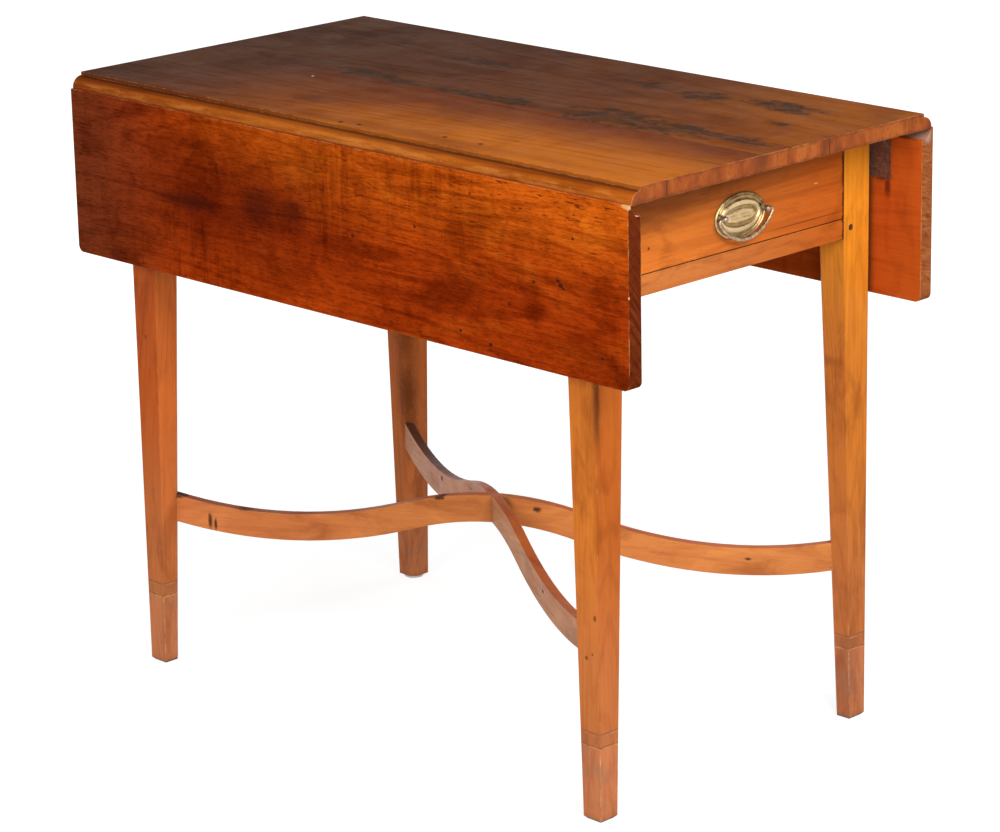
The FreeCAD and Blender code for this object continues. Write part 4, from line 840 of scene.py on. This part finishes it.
def paint_inlay():
    """Stringing let into the cuffs: honey pale, one side of each line lost in dirt, the upper line faded."""
    finish = Finish("pale_string_line")
    cloudy = finish.noise(160.0, 3.0, 0.6)
    base = finish.ramp(cloudy, (0.36, STRING_DARK), (0.60, STRING_PALE))
    middles = (CUFF_LOW + STRING_WIDTH / 2, CUFF_HIGH - STRING_WIDTH / 2)
    low_side, high_side = [finish.ease(finish.z, middle, middle + STRING_BLUR) for middle in middles]
    low_side = finish.times(low_side, finish.ease(finish.z, *LOW_LINE_END))
    base = finish.lay(base, STRING_DIRT, finish.most(low_side, high_side), 0.75)
    base = finish.lay(base, STRING_FADED, finish.ease(finish.z, sum(middles) / 2, CUFF_HIGH, 0.0, 0.65))
    rough = finish.ease(cloudy, 0.3, 0.7, 0.38, 0.55)
    return finish.dress(base, rough, finish.bump(cloudy, 0.0002, 0.5), Specular_IOR_Level=0.08)


PEG_DARK = (0.045, 0.016, 0.008)
PEG_LIGHT = (0.17, 0.055, 0.020)


def paint_peg():
    """Dark end of the wooden peg."""
    finish = Finish("dark_peg_end")
    rings = finish.noise(520.0, 3.0, 0.6, 1.0)
    base = finish.ramp(rings, (0.35, PEG_DARK), (0.65, PEG_LIGHT))
    rough = finish.ease(rings, 0.3, 0.7, 0.4, 0.6)
    return finish.dress(base, rough, finish.bump(rings, 0.0004, 0.6), Specular_IOR_Level=0.1)


# Metal and plastic: dark, middle and light tones

PLATE_BRASS = ((0.35, 0.225, 0.090), (0.58, 0.400, 0.178), (0.78, 0.580, 0.310))
BAIL_BRASS = ((0.20, 0.125, 0.068), (0.37, 0.255, 0.150), (0.60, 0.470, 0.320))
POST_BRASS = ((0.16, 0.125, 0.095), (0.34, 0.285, 0.225), (0.64, 0.570, 0.470))
OLIVE_HOLLOW = (0.20, 0.130, 0.045)
RUBBED_AND_HIGHLIT_BOSS = (0.74, 0.58, 0.34)
BRASS_DIRT = (0.055, 0.036, 0.018)
BRIGHT_BRASS = (0.84, 0.70, 0.42)
HOLLOW_SPAN = (0.0017, 0.0012)    # heights above the plate's back
PROUD_SPAN = (0.0022, 0.0032)


def paint_brass(name, tones, relief=False):
    """Antique brass: olive gold, dark in the recesses, bright where it is handled, and on the plate bright
    where it stands proud from rubbing and a painted highlight.
    """
    finish = Finish(name)
    cloudy = finish.noise(150.0, 5.0, 0.62, 0.6)
    base = finish.three_tones(cloudy, tones)
    if relief:
        proud = finish.plus(finish.x, -PLATE_LOW.x)
        base = finish.lay(base, OLIVE_HOLLOW, finish.ease(proud, *HOLLOW_SPAN, 0.0, 0.55))
        # Raised parts: rubbed brass together with a painted highlight
        base = finish.lay(base, RUBBED_AND_HIGHLIT_BOSS, finish.ease(proud, *PROUD_SPAN, 0.0, 0.55))
    hollow = finish.occluded_hollows(0.0035, 0.92)
    base = finish.lay(base, BRASS_DIRT, hollow, 0.85)
    base = finish.lay(base, BRIGHT_BRASS, finish.worn_edge(0.0007, 400.0, 0.45), 0.7)
    pits, chance = finish.cells(900.0)
    pitted = finish.times(finish.ease(pits, 0.30, 0.16), finish.ease(chance, 0.26, 0.24))
    rough = finish.plus(finish.ease(cloudy, 0.3, 0.7, 0.36, 0.50), finish.times(hollow, 0.25))
    height = finish.plus(finish.times(cloudy, 0.5), finish.times(pitted, -0.5))
    return finish.dress(base, rough, finish.bump(height, 0.0002, 0.5), Metallic=1.0)


RUST = ((0.078, 0.033, 0.023), (0.140, 0.058, 0.038), (0.205, 0.092, 0.062))
SCRATCHED_IRON = (0.270, 0.180, 0.165)
RUBBED_IRON = (0.42, 0.32, 0.28)


def paint_iron():
    """Old iron, brown with rust and grey where it is scratched or rubbed."""
    finish = Finish("rusty_brown_iron")
    scale = finish.noise(210.0, 5.0, 0.65, 0.4)
    base = finish.three_tones(scale, RUST)
    scratched = finish.drawn("x", 0.25, 160.0, 4.0, 0.65, 0.4)
    base = finish.lay(base, SCRATCHED_IRON, finish.ease(scratched, 0.54, 0.68, 0.0, 0.7))
    base = finish.lay(base, RUBBED_IRON, finish.worn_edge(0.0010, 120.0, 0.5), 0.6)
    rough = finish.ease(scale, 0.3, 0.7, 0.42, 0.66)
    relief = finish.bump(scale, 0.0003, 0.6)
    return finish.dress(base, rough, relief, Metallic=0.25, Specular_IOR_Level=0.3)


GLIDE_SCUFFED = (0.50, 0.49, 0.45)
GLIDE_MILKY = (0.74, 0.74, 0.70)


def paint_glide():
    """Milky plastic, scuffed underneath."""
    finish = Finish("milky_glide")
    scuff = finish.noise(420.0, 4.0, 0.65)
    base = finish.ramp(scuff, (0.36, GLIDE_SCUFFED), (0.6, GLIDE_MILKY))
    rough = finish.ease(scuff, 0.3, 0.7, 0.34, 0.55)
    return finish.dress(base, rough, finish.bump(scuff, 0.0002, 0.4), Specular_IOR_Level=0.4)


BRASS = paint_brass("antique_brass", PLATE_BRASS, True)
IRON = paint_iron()
TOP_FINISH = paint_top()


# Objects and meshes

def put(name, data):
    """New object in the scene."""
    made = bpy.data.objects.new(name, data)
    bpy.context.scene.collection.objects.link(made)
    return made


def mesh_of(shape, name):
    """Plain mesh of a shape that is ready."""
    mesh = bpy.data.meshes.new(name)
    shape.to_mesh(mesh)
    shape.free()
    return mesh


def settle(piece):
    """Turn a piece and its modifiers into one plain mesh."""
    ready = bpy.context.evaluated_depsgraph_get()
    solid = bpy.data.meshes.new_from_object(piece.evaluated_get(ready))
    piece.modifiers.clear()
    piece.data = solid
    solid.name = piece.name
    return solid


# Hinge screws

SCREW_INPUTS = {
    "Geometry": "Geometry",
    "Head Radius": "Float",
    "Head Height": "Float",
    "Slot Width": "Float",
    "Facing": "Vector",
    "Roll Axis": "Vector",
    "Seed": "Int",
    "Finish": "Material",
}
SCREW_SIZES = {"Head Radius": 0.0036, "Head Height": 0.0010, "Slot Width": 0.0009}
HEAD_SIDES = 24
SLOT_LENGTH = 3.0                                           # in head radii, so that it runs right across
HINGE_HALF = 0.018
HINGE_PLACES = (STRAP_LOW.x + HINGE_HALF, 0.0, STRAP_HIGH.x - HINGE_HALF)
STRAP_SCREWS = ((-0.010, 0.024), (0.010, 0.024), (0.0, 0.050))    # across the strap, below the pin
PLATE_SCREWS = ((-0.010, 0.012), (0.010, 0.012), (0.0, 0.026))    # across the plate, in from the pin


def screw_tree():
    """Geometry tree: a slotted screw head on every point, each turned by its own angle."""
    tree = bpy.data.node_groups.new("slotted_screws", "GeometryNodeTree")
    tree.interface.new_socket("Geometry", in_out="OUTPUT", socket_type="NodeSocketGeometry")
    names = {}
    for label, kind in SCREW_INPUTS.items():
        socket = tree.interface.new_socket(label, in_out="INPUT", socket_type="NodeSocket" + kind)
        names[label] = socket.identifier

    def add(kind, inputs, **settings):
        return add_node(tree, kind, inputs, **settings).outputs

    start = tree.nodes.new("NodeGroupInput").outputs
    radius, height = start["Head Radius"], start["Head Height"]
    head = add("GeometryNodeMeshCone", {"Vertices": HEAD_SIDES, "Radius Top": radius,
                                        "Radius Bottom": radius, "Depth": height})
    raised = add("ShaderNodeCombineXYZ", {"Z": height})
    length = add("ShaderNodeMath", {0: radius, 1: SLOT_LENGTH}, operation="MULTIPLY")
    size = add("ShaderNodeCombineXYZ", {"X": length[0], "Y": start["Slot Width"], "Z": height})
    slot = add("GeometryNodeMeshCube", {"Size": size[0]})
    slot = add("GeometryNodeTransform", {"Geometry": slot["Mesh"], "Translation": raised[0]})
    slotted = add("GeometryNodeMeshBoolean", {0: head["Mesh"], 1: slot[0]},
                  operation="DIFFERENCE", solver="EXACT")
    faced = add("GeometryNodeTransform", {"Geometry": slotted[0], "Rotation": start["Facing"]})
    angle = add("FunctionNodeRandomValue", {2: 0.0, 3: math.pi, "Seed": start["Seed"]}, data_type="FLOAT")
    rolled = add("ShaderNodeVectorMath", {0: start["Roll Axis"], "Scale": angle[1]}, operation="SCALE")
    copies = add("GeometryNodeInstanceOnPoints", {"Points": start["Geometry"], "Instance": faced[0],
                                                  "Rotation": rolled[0]})
    real = add("GeometryNodeRealizeInstances", {"Geometry": copies[0]})
    dressed = add("GeometryNodeSetMaterial", {"Geometry": real[0], "Material": start["Finish"]})
    add("NodeGroupOutput", {"Geometry": dressed[0]})
    return tree, names


def make_screws(tree, names, piece_name, body, points, facing, roll_axis, seed):
    """One mesh of screw heads on a body, at these points."""
    mesh = bpy.data.meshes.new(piece_name + "_points")
    mesh.from_pydata(points, [], [])
    piece = put(piece_name, mesh)
    modifier = piece.modifiers.new("screws", "NODES")
    modifier.node_group = tree
    settings = {**SCREW_SIZES, "Facing": facing, "Roll Axis": roll_axis, "Seed": seed, "Finish": IRON}
    for label, value in settings.items():
        modifier[names[label]] = value
    settle(piece)
    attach(piece, body)


def make_hinge_screws():
    """Screws through the straps of both leaves and through the plates under the top."""
    tree, names = screw_tree()
    under = []
    for seed, (body, side) in enumerate((("leaf_right", 1.0), ("leaf_left", -1.0))):
        points = [(x + across, side * STRAP_Y, PIN_Z - down)
                  for x in HINGE_PLACES for across, down in STRAP_SCREWS]
        under += [(x + across, side * (ARRIS_Y - inward), TOP_LOW.z)
                  for x in HINGE_PLACES for across, inward in PLATE_SCREWS]
        make_screws(tree, names, body + "_hinge_screws", body, points,
                    (side * math.pi / 2, 0.0, 0.0), (0.0, 1.0, 0.0), seed)
    make_screws(tree, names, "top_hinge_screws", "frame", under, (math.pi, 0.0, 0.0), (0.0, 0.0, 1.0), 2)


# Wood that closes the outer ends of the hinge beds in the quarter rounds

FACING_INNER, FACING_OUTER = 0.0127, 0.01298     # distances from the pin
FACING_ANGLES = (-2.5, 0.0, 2.5, 5.0, 8.0)       # degrees above the pin's level
FACING_HALF = HINGE_HALF + 0.0006


def make_bed_facings():
    """Thin strips of the quarter round over the ends of the six hinge beds."""
    arcs = [(FACING_OUTER, angle) for angle in FACING_ANGLES]
    arcs += [(FACING_INNER, angle) for angle in reversed(FACING_ANGLES)]
    shape = bmesh.new()
    for side, middle in [(side, middle) for side in (1.0, -1.0) for middle in HINGE_PLACES]:
        rows = []
        for radius, angle in arcs:
            turn = math.radians(angle)
            y = side * (ARRIS_Y + radius * math.cos(turn))
            z = PIN_Z + radius * math.sin(turn)
            rows.append([shape.verts.new((middle + end * FACING_HALF, y, z)) for end in (-1.0, 1.0)])
        for first, second in zip(rows, rows[1:] + rows[:1]):
            shape.faces.new((first[0], first[1], second[1], second[0]))
        for end in (0, 1):
            shape.faces.new([row[end] for row in rows])
    bmesh.ops.recalc_face_normals(shape, faces=shape.faces)
    facings = put("rule_joint_facings", mesh_of(shape, "rule_joint_facings"))
    facings.data.materials.append(TOP_FINISH)
    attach(facings, "frame")


# Groove in the hidden side of each strap, so that a raised leaf's straps clear the facings

GROOVE_INNER, GROOVE_OUTER = 0.01235, 0.01335    # distances from the pin
METAL_LEFT = 0.00038
CUTTER_DEPTH = 0.008
CUTTER_LENGTH = 2.2 * HINGE_HALF
JOIN_REACH = 0.000001


def make_groove_cutter(side):
    """Boxes that stand across the three straps of one leaf."""
    shape = bmesh.new()
    for middle in HINGE_PLACES:
        for corner in bmesh.ops.create_cube(shape, size=1.0)["verts"]:
            depth = METAL_LEFT if corner.co.y * side < 0.0 else CUTTER_DEPTH
            down = GROOVE_INNER if corner.co.z > 0.0 else GROOVE_OUTER
            corner.co = (middle + CUTTER_LENGTH * corner.co.x, side * (STRAP_Y + depth), PIN_Z - down)
    return put("groove_cutter", mesh_of(shape, "groove_cutter"))


def joined_copy(mesh, name):
    """Copy of a CAD mesh with its loose triangles joined along their edges."""
    shape = bmesh.new()
    shape.from_mesh(mesh)
    bmesh.ops.remove_doubles(shape, verts=shape.verts, dist=JOIN_REACH)
    return mesh_of(shape, name)


def make_grooved_straps(body, node, side):
    """The leaf's three straps with the groove cut across them."""
    cutter = make_groove_cutter(side)
    straps = put("grooved_" + node, joined_copy(nodes[node].data, "joined_" + node))
    cut = straps.modifiers.new("groove", "BOOLEAN")
    cut.operation = "DIFFERENCE"
    cut.solver = "EXACT"
    cut.object = cutter
    solid = settle(straps)
    bpy.data.objects.remove(cutter)
    solid.materials.clear()
    solid.materials.append(IRON)
    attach(straps, body)
    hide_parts(node)


# Cast oval plate of the pull

PLATE_MIDDLE = (PLATE_LOW + PLATE_HIGH) / 2
PLATE_HALF = (PLATE_HIGH - PLATE_LOW) / 2
PLATE_RINGS = 60
PLATE_ROUND = 128
PLATE_THICK = 0.0010
RIM_LINES = ((0.955, 0.042, 0.0012), (0.866, 0.034, 0.0009))    # shares of the oval: middle, half; height
RAISED_OVAL = (0.0345, 0.0188, 0.0022, 0.86)     # half width, half height, rise, where the slope ends
DISH_OVAL = (0.0300, 0.0122, -0.0020, 0.90)
BOSS_OVAL = (0.0280, 0.0080, 0.0012, 0.80)
RIB_HEIGHT = 0.0006
RIB_FADE = 0.70
RIB_COUNT = 4.0                                  # ribs in the boss's height
SHARP_ANGLE = math.radians(50.0)


def smooth(value, start, stop):
    share = min(max((value - start) / (stop - start), 0.0), 1.0)
    return share * share * (3.0 - 2.0 * share)


def oval_reach(y, z, half_y, half_z):
    """0 in the middle of an oval and 1 on its line."""
    return math.hypot(y / half_y, z / half_z)


def plate_height(y, z):
    """Height of the casting above its back: two rim lines, a raised oval, a dish and a ribbed boss."""
    rim = oval_reach(y, z, PLATE_HALF.y, PLATE_HALF.z)
    height = PLATE_THICK
    for middle, half, rise in RIM_LINES:
        height += rise * smooth(abs(rim - middle), half, 0.0)
    for half_y, half_z, rise, level in (RAISED_OVAL, DISH_OVAL, BOSS_OVAL):
        height += rise * smooth(oval_reach(y, z, half_y, half_z), 1.0, level)
    boss_y, boss_z = BOSS_OVAL[:2]
    ribs = 0.5 + 0.5 * math.cos(RIB_COUNT * math.pi * z / boss_z)
    return height + RIB_HEIGHT * ribs * smooth(oval_reach(y, z, boss_y, boss_z), 1.0, RIB_FADE)


def make_pull_plate():
    """Rings of points from the middle of the oval to its rim, closed by a flat back."""
    shape = bmesh.new()
    back = PLATE_LOW.x
    centre = shape.verts.new((back + plate_height(0.0, 0.0), PLATE_MIDDLE.y, PLATE_MIDDLE.z))
    rings = []
    for ring in range(1, PLATE_RINGS + 1):
        row = []
        for step in range(PLATE_ROUND):
            angle = 2.0 * math.pi * step / PLATE_ROUND
            y = PLATE_HALF.y * ring / PLATE_RINGS * math.cos(angle)
            z = PLATE_HALF.z * ring / PLATE_RINGS * math.sin(angle)
            front = back + plate_height(y, z)
            row.append(shape.verts.new((front, PLATE_MIDDLE.y + y, PLATE_MIDDLE.z + z)))
        rings.append(row)
    rings.append([shape.verts.new((back, corner.co.y, corner.co.z)) for corner in rings[-1]])
    for step in range(PLATE_ROUND):
        after = (step + 1) % PLATE_ROUND
        shape.faces.new((centre, rings[0][step], rings[0][after]))
        for inner, outer in zip(rings, rings[1:]):
            shape.faces.new((inner[step], outer[step], outer[after], inner[after]))
    shape.faces.new(list(reversed(rings[-1])))
    bmesh.ops.recalc_face_normals(shape, faces=shape.faces)
    mesh = mesh_of(shape, "cast_pull_plate")
    for face in mesh.polygons:
        face.use_smooth = True
    mesh.set_sharp_from_angle(angle=SHARP_ANGLE)
    mesh.materials.append(BRASS)
    plate = put("cast_pull_plate", mesh)
    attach(plate, "drawer")
    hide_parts("pull_backplate")


# Finishes on the pieces

PINE_PIECES = (
    "side_rail_left", "side_rail_right", "fly_block_left", "fly_block_right",
    "fly_bracket_front_left", "fly_bracket_front_right", "fly_bracket_back_left", "fly_bracket_back_right",
    "drawer_runner_left", "drawer_runner_right", "drawer_side_left", "drawer_side_right",
)
IRON_PIECES = (
    "pull_nuts", "fly_pins", "top_screws", "hinge_leaf_straps_left", "hinge_leaf_straps_right",
    "hinge_pins_left", "hinge_pins_right", "hinge_top_plates_left", "hinge_top_plates_right",
)


def wear(material, *names):
    """Give a finish to CAD nodes."""
    for name in names:
        slots = nodes[name].data.materials
        slots.clear()
        slots.append(material)


wear(TOP_FINISH, "top_board")
wear(paint_leaf("old_cherry_leaf_left", -1, 0.0), "leaf_left")
wear(paint_leaf("old_cherry_leaf_right", 1, 0.37), "leaf_right")
for leg, looks in LEGS.items():
    wear(paint_leg(leg, *looks), leg)
wear(paint_drawer_end("old_cherry_drawer_front", 0.1, DRAWER_LEFT, DRAWER_RIGHT, True), "drawer_front")
wear(paint_drawer_end("old_cherry_rail", 0.6, RAIL_LEFT, RAIL_RIGHT), "front_rail", "back_rail")
wear(paint_stretcher("old_cherry_stretcher_over", BAR_ANGLE, OVER_LIGHT_AND_SHADE, OVER_CHIPS), "stretcher_over")
wear(paint_stretcher("old_cherry_stretcher_under", -BAR_ANGLE, UNDER_LIGHT_AND_SHADE, UNDER_CHIPS), "stretcher_under")
wear(paint_pine("aged_pine_long", "x"), *PINE_PIECES)
wear(paint_pine("aged_pine_cross", "y"), "drawer_back", "drawer_bottom")
wear(paint_inlay(), "cuff_stringing")
wear(paint_peg(), "front_rail_peg")
wear(BRASS, "pull_backplate")
wear(paint_brass("handled_brass", BAIL_BRASS), "pull_bail")
wear(paint_brass("grey_brass", POST_BRASS), "pull_posts")
wear(IRON, *IRON_PIECES)
wear(paint_glide(), "foot_glide")
make_hinge_screws()
make_bed_facings()
make_grooved_straps("leaf_right", "hinge_leaf_straps_right", 1.0)
make_grooved_straps("leaf_left", "hinge_leaf_straps_left", -1.0)
make_pull_plate()


# Studio: white floor, soft lamps, camera at the photograph's angle

WHITE = (1.0, 1.0, 1.0, 1.0)
AMBIENT = 0.336
FLOOR_HALF = 30.0
FLOOR_GREY = (0.42, 0.42, 0.42, 1.0)
FLOOR_GLOW = (0.745, 0.95)        # near the table, and far off where the lamps don't reach
FLOOR_FADE = (0.6, 2.6)           # distances between which the glow changes
LAMP_AIM = Vector((0.0, 0.0, 0.45))
LAMPS = {    # azimuth, elevation, distance, size, watts
    "key_lamp": (72.0, 34.0, 2.6, 1.3, 50.0),
    "left_lamp": (8.0, 26.0, 3.0, 1.6, 38.0),
    "low_lamp": (60.0, 6.0, 3.2, 1.0, 20.0),
    "side_lamp": (180.0, 8.0, 3.2, 1.6, 24.0),
    "back_lamp": (268.0, 8.0, 3.2, 1.6, 24.0),
}
VIEW_AZIMUTH, VIEW_ELEVATION, VIEW_ROLL = 45.52, 16.78, -1.14
VIEW_AIM = Vector((0.0495, -0.0384, 0.350))
VIEW_DISTANCE = 4.229
VIEW_LENS = 134.4                 # millimetres
VIEW_SENSOR = 36.0                # millimetres


def seen_plainly(tree):
    """Light path mask of camera, mirror and glass rays."""
    rays = add_node(tree, "ShaderNodeLightPath").outputs
    total = rays["Is Camera Ray"]
    for name in ("Is Glossy Ray", "Is Transmission Ray"):
        total = add_node(tree, "ShaderNodeMath", {0: total, 1: rays[name]}, operation="MAXIMUM").outputs[0]
    return total


def make_floor():
    """Matte floor that also glows a little, so that it is as white as the backdrop."""
    mesh = bpy.data.meshes.new("studio_floor")
    corners = [(x * FLOOR_HALF, y * FLOOR_HALF, 0.0) for x, y in ((-1, -1), (1, -1), (1, 1), (-1, 1))]
    mesh.from_pydata(corners, [], [(0, 1, 2, 3)])
    material = bpy.data.materials.new("studio_floor")
    material.use_nodes = True
    tree = material.node_tree
    tree.nodes.clear()
    matte = add_node(tree, "ShaderNodeBsdfDiffuse", {"Color": FLOOR_GREY})
    place = add_node(tree, "ShaderNodeTexCoord").outputs["Object"]
    away = add_node(tree, "ShaderNodeVectorMath", {0: place}, operation="LENGTH").outputs["Value"]
    fade = dict(enumerate((*FLOOR_FADE, *FLOOR_GLOW), 1))
    level = add_node(tree, "ShaderNodeMapRange", {0: away, **fade}).outputs[0]
    strength = add_node(tree, "ShaderNodeMath", {0: seen_plainly(tree), 1: level}, operation="MULTIPLY")
    glow = add_node(tree, "ShaderNodeEmission", {"Strength": strength.outputs[0]})
    both = add_node(tree, "ShaderNodeAddShader", {0: matte.outputs[0], 1: glow.outputs[0]})
    add_node(tree, "ShaderNodeOutputMaterial", {0: both.outputs[0]})
    mesh.materials.append(material)
    put("studio_floor", mesh)


def make_world():
    """White to the camera, dimmer as light on the table."""
    world = bpy.data.worlds.new("studio_white")
    bpy.context.scene.world = world
    world.use_nodes = True
    tree = world.node_tree
    tree.nodes.clear()
    inputs = {"Value": seen_plainly(tree), "To Min": AMBIENT, "To Max": 1.0}
    level = add_node(tree, "ShaderNodeMapRange", inputs)
    backdrop = add_node(tree, "ShaderNodeBackground", {"Color": WHITE, "Strength": level.outputs[0]})
    add_node(tree, "ShaderNodeOutputWorld", {0: backdrop.outputs[0]})


def direction(azimuth, elevation):
    """Unit vector from the table towards a viewer at these angles, in degrees."""
    turn, lift = math.radians(azimuth), math.radians(elevation)
    return Vector((math.sin(turn) * math.cos(lift), -math.cos(turn) * math.cos(lift), math.sin(lift)))


def make_lamp(name, azimuth, elevation, distance, size, watts):
    data = bpy.data.lights.new(name, "AREA")
    data.shape = "DISK"
    data.size = size
    data.energy = watts
    lamp = put(name, data)
    back = direction(azimuth, elevation)
    lamp.location = LAMP_AIM + back * distance
    lamp.rotation_mode = "QUATERNION"
    lamp.rotation_quaternion = (-back).to_track_quat("-Z", "Y")


def make_camera():
    back = direction(VIEW_AZIMUTH, VIEW_ELEVATION)
    turn, roll = math.radians(VIEW_AZIMUTH), math.radians(VIEW_ROLL)
    level = Vector((math.cos(turn), math.sin(turn), 0.0))
    upright = back.cross(level)
    right = level * math.cos(roll) + upright * math.sin(roll)
    up = upright * math.cos(roll) - level * math.sin(roll)
    data = bpy.data.cameras.new("photo_camera")
    data.lens = VIEW_LENS
    data.sensor_width = VIEW_SENSOR
    camera = put("photo_camera", data)
    turned = Matrix((right, up, back)).transposed().to_4x4()
    camera.matrix_world = Matrix.Translation(VIEW_AIM + back * VIEW_DISTANCE) @ turned
    bpy.context.scene.camera = camera


make_floor()
make_world()
for lamp_name, lamp_row in LAMPS.items():
    make_lamp(lamp_name, *lamp_row)
make_camera()
bpy.context.scene.view_settings.view_transform = "Standard"
